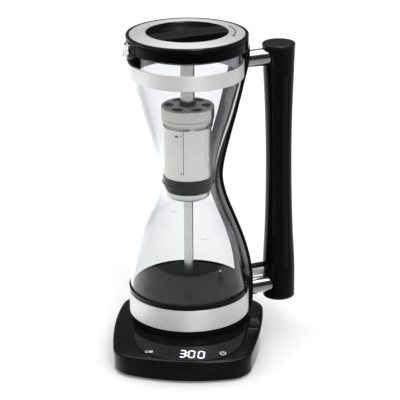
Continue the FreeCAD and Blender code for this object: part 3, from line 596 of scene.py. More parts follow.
# ------------------------------------------------------------------ glass vessel
GLASS = [(66.0, 62.2), (71.0, 62.2), (76.0, 61.35), (81.0, 60.4), (91.0, 58.7), (101.0, 56.8), (111.0, 54.2),
         (121.0, 51.0), (131.0, 47.3), (141.0, 43.2), (151.0, 39.0), (161.0, 35.4), (171.0, 32.8), (181.0, 31.1),
         (191.0, 30.6), (201.0, 31.5), (211.0, 33.3), (221.0, 35.8), (231.0, 38.7), (241.0, 41.7), (251.0, 44.8),
         (261.0, 47.6), (271.0, 50.1), (281.0, 52.6), (291.0, 54.7), (301.0, 56.0), (313.0, 56.6), (327.0, 57.2),
         (339.0, 57.5)]
SPOUT = [(312.5, 56.2), (316.0, 59.3), (319.5, 62.0), (323.4, 65.0), (325.2, 68.2), (327.2, 70.3), (333.0, 69.2), (339.0, 68.4)]
LOBE = [(313.7, 59.6), (315.6, 63.0), (319.0, 65.1), (323.5, 66.3), (327.7, 66.6)]
glass_r = spline([58.0] + [z for z, r in GLASS] + [347.0], [62.2] + [r for z, r in GLASS] + [57.6])


def glass_slope(z):
    return (glass_r(z + 0.25) - glass_r(z - 0.25)) / 0.5


def tear_radius(phi, tip, grow=0.0, rt=9.0, rb=17.0, xb=30.0):
    """polar radius of the spout's outline: phi is the angle from the spout's own direction"""
    ra, rbb = rt + grow, rb + grow
    xa = tip + grow - ra
    d = xa - xb
    s = (rbb - ra) / d
    c = math.sqrt(max(1 - s * s, 0.0))
    ux, uy = np.cos(phi), np.abs(np.sin(phi))
    best = np.zeros_like(phi)
    for cx, rr in ((xa, ra), (xb, rbb)):
        disc = (ux * cx) ** 2 - cx * cx + rr * rr
        ok = disc >= 0
        val = ux * cx + np.sqrt(np.where(ok, disc, 0.0))
        best = np.where(ok & (ux > 0), np.maximum(best, val), best)
    # the tangent line between the two circles
    n = np.array([s, c])
    h = xa * s + ra          # n . p = h on the line, since both circles touch it
    den = ux * n[0] + uy * n[1]
    t = h / np.where(np.abs(den) < 1e-9, 1e-9, den)
    px = t * ux
    x1, x2 = xb + rbb * s, xa + ra * s
    ok = (t > 0) & (px >= min(x1, x2)) & (px <= max(x1, x2))
    best = np.where(ok, np.maximum(best, t), best)
    return best


def smax(a, b, k):
    h = np.clip(0.5 + 0.5 * (b - a) / k, 0, 1)
    return a * (1 - h) + b * h + k * h * (1 - h)


spout_tip = pchip([z for z, t in SPOUT], [t for z, t in SPOUT])


def glass_outer(theta, z, grow=0.0, blend=2.0):
    """polar radius of the vessel, spout and all. theta is in the carafe's own frame; the spout is at 180 degrees"""
    base = np.full_like(theta, float(glass_r(z)) + grow)
    if z <= 312.5:
        return base
    phi = (theta - math.pi + math.pi) % (2 * math.pi) - math.pi
    tip = float(spout_tip(min(z, 339.0)))
    t = tear_radius(phi, tip, grow)
    k = blend * min(1.0, (z - 312.5) / 4.0)
    return smax(base, t, max(k, 1e-3)) - 0.0


def make_glass():
    n = 288
    # more points towards the spout
    u = np.linspace(0, 2 * math.pi, n, endpoint=False)
    th = u + 0.55 * np.sin(u)           # denser near 180 degrees
    th = (th) % (2 * math.pi)
    th = np.sort(th)
    zs = list(np.concatenate([np.linspace(66.6, 150, 36), np.linspace(152, 240, 42), np.linspace(242, 311, 30),
                              np.linspace(312, 338.2, 44)]))
    rings = []
    wall = 2.5
    # bottom edge, rounded
    r0 = float(glass_r(66.0))
    for a in np.linspace(-90, 0, 5)[:-1]:
        rr = r0 - wall / 2 + (wall / 2) * math.cos(math.radians(a))
        rings.append([(rr * math.cos(t), rr * math.sin(t), 66.0 + 0.6 + 0.6 * math.sin(math.radians(a))) for t in th])
    for z in zs:
        r = glass_outer(th, z)
        rings.append([(r[i] * math.cos(t), r[i] * math.sin(t), z) for i, t in enumerate(th)])
    ro = glass_outer(th, 338.2)
    inner_top = []

    def inner(z):
        sl = glass_slope(z)
        base = np.full_like(th, float(glass_r(z)) - wall * math.sqrt(1 + sl * sl))
        if z <= 315.0:
            return base
        phi = (th) % (2 * math.pi) - math.pi
        phi = (phi + math.pi) % (2 * math.pi) - math.pi
        t = tear_radius(phi, float(spout_tip(min(z, 339.0))), -2.2)
        k = 2.0 * min(1.0, (z - 315.0) / 4.0)
        v = smax(base, t, max(k, 1e-3))
        return np.minimum(v, glass_outer(th, z) - 1.4)
    ri = inner(338.2)
    mid, half = (ro + ri) / 2, (ro - ri) / 2
    for a in np.linspace(0, 180, 9)[1:-1]:
        rr = mid + half * math.cos(math.radians(a))
        zz = 338.2 + 0.8 * math.sin(math.radians(a))
        rings.append([(rr[i] * math.cos(t), rr[i] * math.sin(t), zz) for i, t in enumerate(th)])
    for z in zs[::-1]:
        r = inner(z)
        rings.append([(r[i] * math.cos(t), r[i] * math.sin(t), z) for i, t in enumerate(th)])
    for a in np.linspace(180, 270, 5)[1:-1]:
        rr = r0 - wall / 2 + (wall / 2) * math.cos(math.radians(a))
        rings.append([(rr * math.cos(t), rr * math.sin(t), 66.0 + 0.6 + 0.6 * math.sin(math.radians(a))) for t in th])
    V = [p for ring in rings for p in ring]
    F = []
    m = len(rings)
    for i in range(m):
        a, b = i * n, ((i + 1) % m) * n
        for k in range(n):
            k2 = (k + 1) % n
            F.append((a + k, a + k2, b + k2, b + k))
    # the spout lies on the carafe's own -X side
    piece("glass_vessel_shell", V, F, "carafe", "carafe", ["glass"], nodes=["glass_vessel"], sharp=60.0)


make_glass()

# ------------------------------------------------------------------ mesh helpers, second part
def mesh_of(verts, faces):
    """a closed mesh in mm with its normals turned outward"""
    me = bpy.data.meshes.new("work")
    me.from_pydata([tuple(map(float, p)) for p in verts], [], [tuple(int(i) for i in f) for f in faces])
    bm = bmesh.new()
    bm.from_mesh(me)
    bmesh.ops.remove_doubles(bm, verts=bm.verts, dist=1e-4)
    bmesh.ops.recalc_face_normals(bm, faces=bm.faces)
    bm.to_mesh(me)
    bm.free()
    return me


def boolean(a, b, op):
    """a combined with b: UNION, DIFFERENCE or INTERSECT"""
    col = bpy.context.scene.collection
    oa, ob = bpy.data.objects.new("work_a", a), bpy.data.objects.new("work_b", b)
    col.objects.link(oa)
    col.objects.link(ob)
    md = oa.modifiers.new("work", "BOOLEAN")
    md.operation, md.solver, md.object = op, "EXACT", ob
    dg = bpy.context.evaluated_depsgraph_get()
    me = bpy.data.meshes.new_from_object(oa.evaluated_get(dg))
    bpy.data.objects.remove(oa)
    bpy.data.objects.remove(ob)
    return me


def union(*ms):
    r = ms[0]
    for k in ms[1:]:
        r = boolean(r, k, "UNION")
    return r


def cut(a, *bs):
    for k in bs:
        a = boolean(a, k, "DIFFERENCE")
    return a


def finish_piece(name, me, body, where, mats, nodes=(), sharp=32.0, bevel=0.0, pick=None, weld=0.01, weighted=True, segs=2):
    """a finished piece from a mesh in mm: edges broken, placed, shaded, riding on its body"""
    bm = bmesh.new()
    bm.from_mesh(me)
    if weld:
        bmesh.ops.remove_doubles(bm, verts=bm.verts, dist=weld)
        bmesh.ops.dissolve_degenerate(bm, edges=bm.edges, dist=0.004)
    loose = [v for v in bm.verts if not v.link_faces]
    if loose:
        bmesh.ops.delete(bm, geom=loose, context="VERTS")
    if bevel:
        lim = math.radians(40.0)
        es = [e for e in bm.edges if len(e.link_faces) == 2 and e.calc_face_angle(0.0) > lim and (pick is None or pick(e))]
        if es:
            bmesh.ops.bevel(bm, geom=es, offset=bevel, offset_type="OFFSET", segments=segs, profile=0.5, affect="EDGES", clamp_overlap=True)
    big = [f for f in bm.faces if len(f.verts) > 4]
    if big:
        bmesh.ops.triangulate(bm, faces=big, quad_method="BEAUTY", ngon_method="BEAUTY")
    co = np.array([v.co for v in bm.verts], float)
    co = to_row(co, where)
    for v, p in zip(bm.verts, co):
        v.co = p
    bm.normal_update()
    lim = math.radians(sharp)
    for f in bm.faces:
        f.smooth = True
    for e in bm.edges:
        if len(e.link_faces) == 2:
            e.smooth = e.calc_face_angle(0.0) < lim
    me = bpy.data.meshes.new(name)
    bm.to_mesh(me)
    bm.free()
    ob = bpy.data.objects.new(name, me)
    bpy.context.scene.collection.objects.link(ob)
    me.materials.clear()
    for m in ([mats] if isinstance(mats, str) else mats):
        me.materials.append(M[m] if isinstance(m, str) else m)
    if weighted:
        md = ob.modifiers.new("even_shading", "WEIGHTED_NORMAL")
        md.keep_sharp = True
        md.mode = "FACE_AREA"
    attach(ob, body)
    if nodes:
        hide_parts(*nodes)
    return ob


def by_face(ob, rule):
    """chooses a material slot for each face from its centre and normal"""
    me = ob.data
    me.polygons.foreach_set("material_index", np.array([rule(f.center, f.normal) for f in me.polygons], np.int32))


def lathe(prof, n=192, xy=(0.0, 0.0), arc=5):
    """turned mesh from (r, z, corner radius) points"""
    return mesh_of(*spin(rounded(prof, arc), n, True, xy))


def rod(r, x0, x1, y, z, n=72, edge=0.4):
    """round bar along X with broken edges"""
    V, F = spin(rounded([(0, x0, 0), (r, x0, edge), (r, x1, edge), (0, x1, 0)], 4), n)
    V = [(p[2], p[0] + y, p[1] + z) for p in V]
    return mesh_of(V, F)


def upright(r, z0, z1, x, y, n=48):
    return mesh_of(*spin([(0, z0), (r, z0), (r, z1), (0, z1)], n, True, (x, y)))


def brick(x0, x1, y0, y1, z0, z1):
    V = [(x, y, z) for z in (z0, z1) for y in (y0, y1) for x in (x0, x1)]
    return mesh_of(V, [(0, 1, 3, 2), (4, 5, 7, 6), (0, 1, 5, 4), (2, 3, 7, 6), (0, 2, 6, 4), (1, 3, 7, 5)])


def stack(loops, cap=True):
    """closed mesh through loops of equal length"""
    V = [tuple(p) for lp in loops for p in lp]
    n = len(loops[0])
    F = []
    for i in range(len(loops) - 1):
        for k in range(n):
            k2 = (k + 1) % n
            F.append((i * n + k, i * n + k2, (i + 1) * n + k2, (i + 1) * n + k))
    if cap:
        F.append(tuple(range(n))[::-1])
        F.append(tuple(range((len(loops) - 1) * n, len(loops) * n)))
    return V, F


def polar(r, deg):
    return r * math.cos(math.radians(deg)), r * math.sin(math.radians(deg))


# ------------------------------------------------------------------ base
B_HALF, B_SIDE, B_SIDE_Y = 78.7, 480.0, 2.0
B_FRONT, B_BACK, B_FBOW, B_BBOW = -105.6, 76.5, 168.0, 200.0
B_CF, B_CB = 28.8, 32.5
CROWN_R, CROWN_Y, CROWN_Z = 600.0, -20.0, 31.5
SEAM = 17.5


def circle_cross(c1, r1, c2, r2, near):
    c1, c2 = np.array(c1, float), np.array(c2, float)
    d = np.linalg.norm(c2 - c1)
    a = (r1 * r1 - r2 * r2 + d * d) / (2 * d)
    h = math.sqrt(max(r1 * r1 - a * a, 0.0))
    m = c1 + a * (c2 - c1) / d
    n = np.array([-(c2 - c1)[1], (c2 - c1)[0]]) / d
    return min([m + h * n, m - h * n], key=lambda q: float(np.linalg.norm(q - np.array(near))))


def base_outline(inset=0.0, k=(16, 16, 30, 16, 16)):
    S, f, b = (B_HALF - B_SIDE, B_SIDE_Y), (0.0, B_FRONT + B_FBOW), (0.0, B_BACK - B_BBOW)
    cF = circle_cross(S, B_SIDE - B_CF, f, B_FBOW - B_CF, (B_HALF, B_FRONT))
    cB = circle_cross(S, B_SIDE - B_CB, b, B_BBOW - B_CB, (B_HALF, B_BACK))

    def ang(c, p):
        return math.atan2(p[1] - c[1], p[0] - c[0])

    def arc(c, r, t0, t1, n):
        t = np.linspace(t0, t1, n + 1)[:-1]
        return np.c_[c[0] + (r - inset) * np.cos(t), c[1] + (r - inset) * np.sin(t)]
    R = np.vstack([arc(f, B_FBOW, -math.pi / 2, ang(f, cF), k[0]), arc(cF, B_CF, ang(f, cF), ang(S, cF), k[1]),
                   arc(S, B_SIDE, ang(S, cF), ang(S, cB), k[2]), arc(cB, B_CB, ang(S, cB), ang(b, cB), k[3]),
                   arc(b, B_BBOW, ang(b, cB), math.pi / 2, k[4]), [[0.0, B_BACK - inset]]])
    L = R[1:-1][::-1].copy()
    L[:, 0] *= -1
    return np.vstack([R, L])


def crown(x, y, drop=0.0):
    return CROWN_Z - CROWN_R + np.sqrt((CROWN_R - drop) ** 2 - x * x - (y - CROWN_Y) ** 2)


def base_block(inset, z0, drop, edge, low=0.0):
    """solid block under the crown: outline inset, flat bottom at z0, top edge rounded by edge, bottom edge by low"""
    o = base_outline(inset)
    nrm = o - base_outline(inset + 1.0)          # outward
    loops = []

    def at(ins, z):
        q = o - nrm * ins
        zz = np.full(len(q), float(z)) if np.isscalar(z) else z
        return np.c_[q, zz]
    if low:
        for a in np.linspace(90, 0, 4):
            loops.append(at(low * (1 - math.cos(math.radians(a))), z0 + low * (1 - math.sin(math.radians(a)))))
    else:
        loops.append(at(0.0, z0))
    zt = crown(o[:, 0], o[:, 1], drop)
    q = o - nrm * 0.5
    m = (crown(q[:, 0], q[:, 1], drop) - zt) / 0.5
    if edge:
        al = np.arctan(m)
        zc = zt + m * edge - edge * np.sqrt(1 + m * m)
        for t in np.linspace(0.0, 1.0, 9):
            ph = t * (math.pi / 2 - al)
            ins = edge - edge * np.cos(ph)
            w = o - nrm * ins[:, None]
            loops.append(np.c_[w, zc + edge * np.sin(ph)])
        last = loops[-1][:, :2]
    else:
        loops.append(np.c_[o, zt])
        last = o
    c = np.array([0.0, -14.0])
    for s in (0.985, 0.96, 0.92, 0.87, 0.80, 0.72, 0.63, 0.53, 0.42, 0.31, 0.2, 0.1, 0.04):
        w = c + (last - c) * s
        loops.append(np.c_[w, crown(w[:, 0], w[:, 1], drop)])
    return mesh_of(*stack(loops))


def base_slab(inset, z0, z1, low=0.0, high=0.0):
    o = base_outline(inset)
    nrm = o - base_outline(inset + 1.0)
    loops = []
    for a in (np.linspace(90, 0, 8) if low else (0.0,)):
        loops.append(np.c_[o - nrm * low * (1 - math.cos(math.radians(a))), np.full(len(o), z0 + low * (1 - math.sin(math.radians(a))))])
    for a in (np.linspace(0, 90, 4) if high else (0.0,)):
        loops.append(np.c_[o - nrm * high * (1 - math.cos(math.radians(a))), np.full(len(o), z1 - high * (1 - math.sin(math.radians(a))))])
    return mesh_of(*stack(loops))


def round_rect(x0, x1, y0, y1, r, z0, z1, n=6):
    p = rounded([(x0, y0, r), (x1, y0, r), (x1, y1, r), (x0, y1, r)], n)
    return mesh_of(*stack([[(x, y, z) for x, y in p] for z in (z0, z1)]))


SCREWS = [(-63.0, -56.0), (63.0, -56.0), (-63.0, 30.0), (63.0, 30.0)]
PADS = [(-56.0, -78.0), (56.0, -78.0), (-56.0, 50.0), (56.0, 50.0)]
GLAND = (-38.0, B_BACK - 0.5 - B_BBOW + math.sqrt(B_BBOW ** 2 - 38.0 ** 2), 10.0)


def rod_y(r, y0, y1, x, z, n=48, edge=0.0):
    V, F = spin(rounded([(0, y0, 0), (r, y0, edge), (r, y1, edge), (0, y1, 0)], 4), n)
    return mesh_of([(p[0] + x, p[2], p[1] + z) for p in V], F)


def make_base():
    outer = base_block(0.0, SEAM + 0.25, 0.0, 2.6, 0.3)
    inner = base_block(2.4, 10.0, 2.4, 0.0)
    plinth = lathe([(0, 22.0, 0), (59.5, 22.0, 0), (59.5, 31.6, 0.5), (0, 31.6, 0)], 128)
    shell = cut(boolean(outer, plinth, "UNION"), inner, lathe([(0, 15.0, 0), (19.5, 15.0, 0), (19.5, 40.0, 0), (0, 40.0, 0)], 96),
                round_rect(-22.0, 32.0, -98.5, -80.5, 2.0, 10.0, 40.0))
    bosses = [boolean(upright(4.0, 4.3, 27.0, x, y), base_block(2.0, 3.0, 2.0, 0.0), "INTERSECT") for x, y in SCREWS]
    for k, (x, y) in zip(bosses, SCREWS):
        shell = cut(union(shell, k), upright(1.4, 3.0, 17.0, x, y, 24))
    finish_piece("base_housing_shell", shell, "base", "base", "gloss_black", ["base_top_housing"], bevel=0.12)

    lens = boolean(base_block(0.0, SEAM + 0.25, 0.0, 2.6, 0.3), round_rect(-21.92, 31.92, -98.42, -80.58, 1.92, 10.0, 40.0), "INTERSECT")
    lens = cut(lens, base_block(2.4, 10.0, 2.4, 0.0))
    finish_piece("display_window", lens, "base", "base", "smoked_lens", ["display_lens"], bevel=0.1)

    pan = cut(base_slab(0.5, 1.5, SEAM - 0.25, 3.0, 0.3), base_slab(2.4, 3.9, 40.0))
    tongue = cut(base_slab(2.0, 8.0, SEAM + 1.6), base_slab(4.0, 6.0, 40.0))
    tongue = cut(tongue, cut(base_slab(-5.0, 12.0, 30.0), base_slab(2.55, 11.0, 31.0)))
    pan = union(pan, tongue)
    holes = [upright(8.1, 0.0, 2.2, x, y) for x, y in PADS] + [upright(3.5, 0.0, 2.9, x, y, 32) for x, y in SCREWS] + \
            [upright(1.7, 0.0, 6.0, x, y, 24) for x, y in SCREWS]
    pan = cut(pan, *holes)
    pan = cut(pan, rod_y(4.6, GLAND[1] - 12, GLAND[1] + 12, GLAND[0], GLAND[2]))
    finish_piece("base_bottom_shell", pan, "base", "base", "gloss_black", ["base_bottom_cover"], bevel=0.15)

    # feet with a shallow moulded ring, and the cord's grommet with its ribs
    parts = []
    for x, y in PADS:
        parts.append(spin(rounded([(0, 0.35, 0), (4.6, 0.35, 0.2), (5.0, 0.0, 0.2), (7.4, 0.0, 0.3), (8.0, 0.6, 0.3), (8.0, 2.2, 0.1), (0, 2.2, 0)], 3), 56, True, (x, y)))
    finish_piece("rubber_feet", mesh_of(*join(*parts)), "base", "base", "foot_rubber", ["foot_pads"])
    g = [(3.4, -7.4, 0), (5.8, -7.4, 0.3), (5.8, -5.4, 0.3), (4.5, -5.4, 0), (4.5, 1.0, 0), (5.6, 1.0, 0.3), (5.6, 2.6, 0.5), (3.4, 2.6, 0.3)]
    V, F = spin(rounded(g, 4), 56)
    finish_piece("cord_grommet", mesh_of([(p[0] + GLAND[0], p[2] + GLAND[1], p[1] + GLAND[2]) for p in V], F), "base", "base", "foot_rubber",
                 ["cord_gland"])


T7 = 1.5


def hseg(x0, x1, y, t=T7):
    h = t / 2
    return [(x0, y), (x0 + h, y + h), (x1 - h, y + h), (x1, y), (x1 - h, y - h), (x0 + h, y - h)]


def vseg(x, y0, y1, t=T7):
    h = t / 2
    return [(x, y0), (x + h, y0 + h), (x + h, y1 - h), (x, y1), (x - h, y1 - h), (x - h, y0 + h)]


def inlay_on_crown(poly, up=0.05, down=0.45):
    """thin slab whose top follows the crown, from a convex polygon"""
    c = np.mean(np.array(poly), 0)
    top, low = [], []
    for x, y in poly:
        z = float(crown(x, y))
        top.append((x, y, z + up))
        low.append((x, y, z - down))
    V = low + top + [(c[0], c[1], float(crown(c[0], c[1])) + up), (c[0], c[1], float(crown(c[0], c[1])) - down)]
    n = len(poly)
    F = []
    for k in range(n):
        k2 = (k + 1) % n
        F += [(k, k2, n + k2, n + k), (n + k, n + k2, 2 * n), (k2, k, 2 * n + 1)]
    return V, F


def disc_poly(x, y, r, n=20):
    return [(x + r * math.cos(2 * math.pi * k / n), y + r * math.sin(2 * math.pi * k / n)) for k in range(n)]


def ring_inlay(x, y, r0, r1, a0, a1, n=22, up=0.05, down=0.45):
    """part of a flat ring that follows the crown"""
    loops = []
    for k in range(n + 1):
        a = math.radians(a0 + (a1 - a0) * k / n)
        c, s = math.cos(a), math.sin(a)
        row = []
        for r, d in ((r0, -down), (r1, -down), (r1, up), (r0, up)):
            px, py = x + r * c, y + r * s
            row.append((px, py, float(crown(px, py)) + d))
        loops.append(row)
    return stack(loops)


def make_marks():
    DY, DH, DW, g = -97.9, 13.8, 7.2, 0.35

    def digit(x, segs):
        y0, y1, ym = DY + T7 / 2, DY + DH - T7 / 2, DY + DH / 2
        xl, xr = x + T7 / 2, x + DW - T7 / 2
        al = {"a": hseg(xl + g, xr - g, y1), "d": hseg(xl + g, xr - g, y0), "g": hseg(xl + g, xr - g, ym),
              "f": vseg(xl, ym + g, y1 - g), "b": vseg(xr, ym + g, y1 - g), "e": vseg(xl, y0 + g, ym - g), "c": vseg(xr, y0 + g, ym - g)}
        return [inlay_on_crown(al[k]) for k in segs]
    parts = digit(-1.7, "abgcd") + digit(7.6, "abcdef") + digit(17.6, "abcdef")
    parts += [inlay_on_crown(disc_poly(6.45, DY + 4.4, 0.85)), inlay_on_crown(disc_poly(6.45, DY + 9.4, 0.85))]
    finish_piece("display_numbers", mesh_of(*join(*parts)), "base", "base", "lit_marks", ["display_digits"], weighted=False)

    def bar(x0, x1, y0, y1):
        return inlay_on_crown([(x0, y0), (x1, y0), (x1, y1), (x0, y1)])
    parts = [ring_inlay(-35.2, -87.8, 1.55, 2.1, 0.0, 340.0), ring_inlay(-31.0, -87.8, 0.7, 1.9, 0.0, 340.0),
             ring_inlay(43.0, -84.8, 2.5, 3.3, 106.0, 434.0), bar(42.65, 43.35, -84.6, -81.0)]
    finish_piece("touch_marks", mesh_of(*join(*parts)), "base", "base", "icon_marks", ["touch_icons"], weighted=False)


make_base()
make_marks()


# ------------------------------------------------------------------ carafe foot
def make_foot():
    prof = [(61.5, 31.9, 0.8), (61.5, 38.9, 0.0), (62.45, 38.9, 0.0), (62.45, 62.55, 0.0), (56.5, 62.55, 0.2), (56.5, 60.4, 0.2),
            (59.6, 60.4, 0.3), (59.6, 31.9, 0.3)]
    foot = lathe(prof, 256)
    for a in (90.0, 210.0, 330.0):
        x, y = polar(56.2, a)
        boss = boolean(upright(4.0, 35.5, 62.0, x, y, 40), lathe([(0, 30.0, 0), (60.5, 30.0, 0), (60.5, 70.0, 0), (0, 70.0, 0)], 256), "INTERSECT")
        foot = cut(union(foot, boss), upright(1.4, 35.0, 52.0, x, y, 24))
    finish_piece("foot_skirt", foot, "carafe", "carafe", "gloss_black", ["carafe_foot_shell"])
    finish_piece("steel_foot_ring", lathe([(62.5, 38.9, 0.1), (63.5, 38.9, 0.45), (63.5, 62.55, 0.45), (62.5, 62.55, 0.1)], 288, arc=6), "carafe", "carafe",
                 "brushed_steel", ["steel_trim_ring"])
    finish_piece("clamp_ring_shell", lathe([(62.6, 62.6, 0.1), (63.5, 62.6, 0.4), (63.75, 67.6, 1.0), (63.75, 68.2, 0.45), (62.6, 68.2, 0.3)], 288, arc=6),
                 "carafe", "carafe", "gloss_black", ["lower_clamp_ring"])
    sx, sy = polar(35.6, -6.3)
    plate = lathe([(0, 66.2, 0), (57.3, 66.2, 0), (57.3, 62.6, 0), (62.4, 62.6, 0), (62.4, 63.5, 0), (58.5, 63.5, 0), (58.5, 67.0, 0), (58.1, 67.4, 0.2), (54.6, 67.4, 0.1),
                   (54.4, 67.25, 0.1), (53.9, 67.25, 0.1), (53.7, 67.4, 0.1), (0, 67.4, 0)], 256)
    plate = cut(plate, upright(2.05, 50.0, 80.0, sx, sy, 32))
    finish_piece("heating_disc", plate, "carafe", "carafe", "plate_steel", ["heating_plate"])
    finish_piece("disc_gasket", lathe([(58.6, 63.55, 0), (62.3, 63.55, 0), (62.3, 65.9, 0.4), (59.6, 65.9, 0.4), (59.6, 67.6, 0.4), (58.6, 67.6, 0.3)], 256),
                 "carafe", "carafe", "seal", ["plate_gasket"])
    # the probe: a dark sleeve, and a tip above 74.8 mm in the pale steel, which paints the highlight on its top
    s = spin(rounded([(0, 56.4, 0), (1.95, 56.4, 0), (1.95, 68.4, 0.2), (1.6, 68.6, 0.1), (1.6, 76.6, 1.5), (0, 76.6, 0)], 6), 40, True, (sx, sy))
    ob = finish_piece("sensor_pin", mesh_of(*s), "carafe", "carafe", ["seal", "cap_steel_painted_light"], ["temperature_sensor"])
    by_face(ob, lambda p, n: 1 if p.z > 0.0748 else 0)
    s = spin(rounded([(2.0, 67.42, 0), (4.1, 67.42, 0.1), (4.1, 70.2, 0.5), (3.4, 71.4, 0.5), (2.0, 71.4, 0.1)], 5), 48, True, (sx, sy))
    finish_piece("sensor_ring", mesh_of(*s), "carafe", "carafe", "seal", ["sensor_grommet"])


make_foot()


# ------------------------------------------------------------------ band and collar
def tear_loop(tip, grow, z, rt, rb, xb, n=22):
    ra, rbb = rt + grow, rb + grow
    xa = tip + grow - ra
    d = xa - xb
    s = (rbb - ra) / d
    ph = math.acos(max(-1.0, min(1.0, s)))
    # the straight sides touch both circles where the normal is at +-ph from the tip's direction
    out = []
    for a in np.linspace(-ph, ph, n):
        out.append((-(xa + ra * math.cos(a)), ra * math.sin(a), z))
    for a in np.linspace(ph, 2 * math.pi - ph, n + 8):
        out.append((-(xb + rbb * math.cos(a)), rbb * math.sin(a), z))
    return out


def tear_solid(table, grow, rt, rb, xb, z_top, steps=26):
    f = pchip([z for z, t in table], [t for z, t in table])
    zs = np.linspace(table[0][0], table[-1][0], steps)
    loops = [tear_loop(float(f(z)), grow, float(z), rt, rb, xb) for z in zs]
    if z_top > table[-1][0]:
        loops.append(tear_loop(table[-1][1], grow, z_top, rt, rb, xb))
    return mesh_of(*stack(loops))


def make_collar():
    finish_piece("steel_band", lathe([(57.05, 297.5, 0.1), (57.95, 297.5, 0.35), (57.95, 313.3, 0.35), (57.05, 313.3, 0.1)], 256, arc=5), "carafe", "carafe",
                 "brushed_steel", ["upper_steel_band"])
    ring = lathe([(52.0, 327.5, 0), (62.6, 327.5, 0.9), (62.6, 339.0, 0.8), (52.0, 339.0, 0)], 256)
    lobe = tear_solid(LOBE, 0.0, 11.0, 19.0, 28.0, 327.7)
    zs = np.linspace(300.0, 346.0, 40)
    body = mesh_of(*spin([(0.0, 300.0)] + [(float(glass_r(z)) + 0.15, float(z)) for z in zs] + [(0.0, 346.0)], 256))
    spout = tear_solid(SPOUT, 0.22, 9.0, 17.0, 30.0, 346.0, 40)
    col = cut(union(ring, lobe), body, spout)
    finish_piece("collar_shell", col, "carafe", "carafe", "collar_black", ["upper_collar"], bevel=0.3)
    # two plain level ticks printed on the glass
    parts = []
    for zc, a0, a1 in ((134.6, -98.4, -86.8), (161.0, -144.6, -133.2)):
        for dz, f0, f1 in ((0.0, 0.0, 1.0),):
            loops = []
            for k in range(13):
                a = math.radians(a0 + (a1 - a0) * (f0 + (f1 - f0) * k / 12))
                row = []
                for z, dr in ((zc - 0.45, 0.02), (zc - 0.45, 0.12), (zc + 0.45, 0.12), (zc + 0.45, 0.02)):
                    r = float(glass_r(z)) + dr
                    row.append((r * math.cos(a), r * math.sin(a), z + dz))
                loops.append(row)
            parts.append(stack(loops))
    finish_piece("level_ticks", mesh_of(*join(*parts)), "carafe", "carafe", "print_grey", weighted=False)


make_collar()

# ------------------------------------------------------------------ handle
STRAP = [(32.9, 69.6), (46.3, 70.3), (58.0, 70.4), (70.0, 69.9), (89.0, 67.4), (103.5, 63.9), (118.0, 59.4), (132.7, 53.9),
         (147.3, 48.2), (161.8, 42.5), (175.9, 38.3), (189.6, 36.3), (202.7, 37.5), (215.4, 40.2), (228.0, 43.5),
         (240.7, 47.0), (253.0, 50.6), (265.7, 54.0), (278.0, 57.2), (290.6, 60.3), (303.0, 63.5), (315.6, 65.3),
         (326.2, 65.0)]
strap_r = spline([z for z, r in STRAP], [r for z, r in STRAP])
GRIP = [(34.0, 17.3), (52.0, 17.5), (73.0, 17.35), (95.5, 16.25), (118.0, 15.25), (140.0, 14.6), (162.0, 14.1), (184.5, 13.9),
        (207.0, 13.9), (229.0, 14.25), (251.0, 14.8), (273.0, 15.6), (295.0, 16.5), (320.0, 17.5)]
grip_r = spline([z for z, r in GRIP], [r for z, r in GRIP])


def strap_solid():
    T, H, rho = 3.6, 16.5, 0.9
    zs = np.concatenate([[32.9 + d for d in (0.0, 0.1, 0.3, 0.6, 0.9)], np.linspace(35.0, 324.5, 120), [326.2 - d for d in (0.9, 0.6, 0.3, 0.1, 0.0)]])
    loops = []
    for z in zs:
        e = min(z - 32.9, 326.2 - z)
        cut_in = rho - math.sqrt(max(rho ** 2 - (rho - min(e, rho)) ** 2, 0.0))      # rounded ends
        r = float(strap_r(z))
        dr = (float(strap_r(min(z + 0.3, 326.2))) - float(strap_r(max(z - 0.3, 32.9)))) / (min(z + 0.3, 326.2) - max(z - 0.3, 32.9))
        L = math.sqrt(1 + dr * dr)
        nr, nz = 1 / L, -dr / L
        hy, t0, t1 = H - cut_in, cut_in, T - cut_in
        rr = max(rho - cut_in * 0.6, 0.15)
        sec = []
        core = rounded([(-hy, t0, rr), (hy, t0, rr), (hy, t1, rr), (-hy, t1, rr)], 4)
        for i in range(len(core)):
            a, b = core[i], core[(i + 1) % len(core)]
            sec.append(a)
            if abs(b[0] - a[0]) > 5.0:
                for k in range(1, 15):
                    sec.append((a[0] + (b[0] - a[0]) * k / 15, a[1]))
        row = []
        for y, t in sec:
            q, zz = r - t * nr, z - t * nz
            row.append((math.sqrt(max(q * q - y * y, 0.0)), y, zz))
        loops.append(row)
    return mesh_of(*stack(loops))


# standoffs: sideways offset, height, radius, where the end sits in the grip, radius of the hole behind it, start of the screw hole
POSTS = [(0.0, 306.4, 9.3, 92.0, 5.7, 58.9), (-2.0, 50.8, 9.3, 94.6, 5.7, 64.9), (7.5, 65.2, 7.0, 98.0, 4.3, 67.1)]


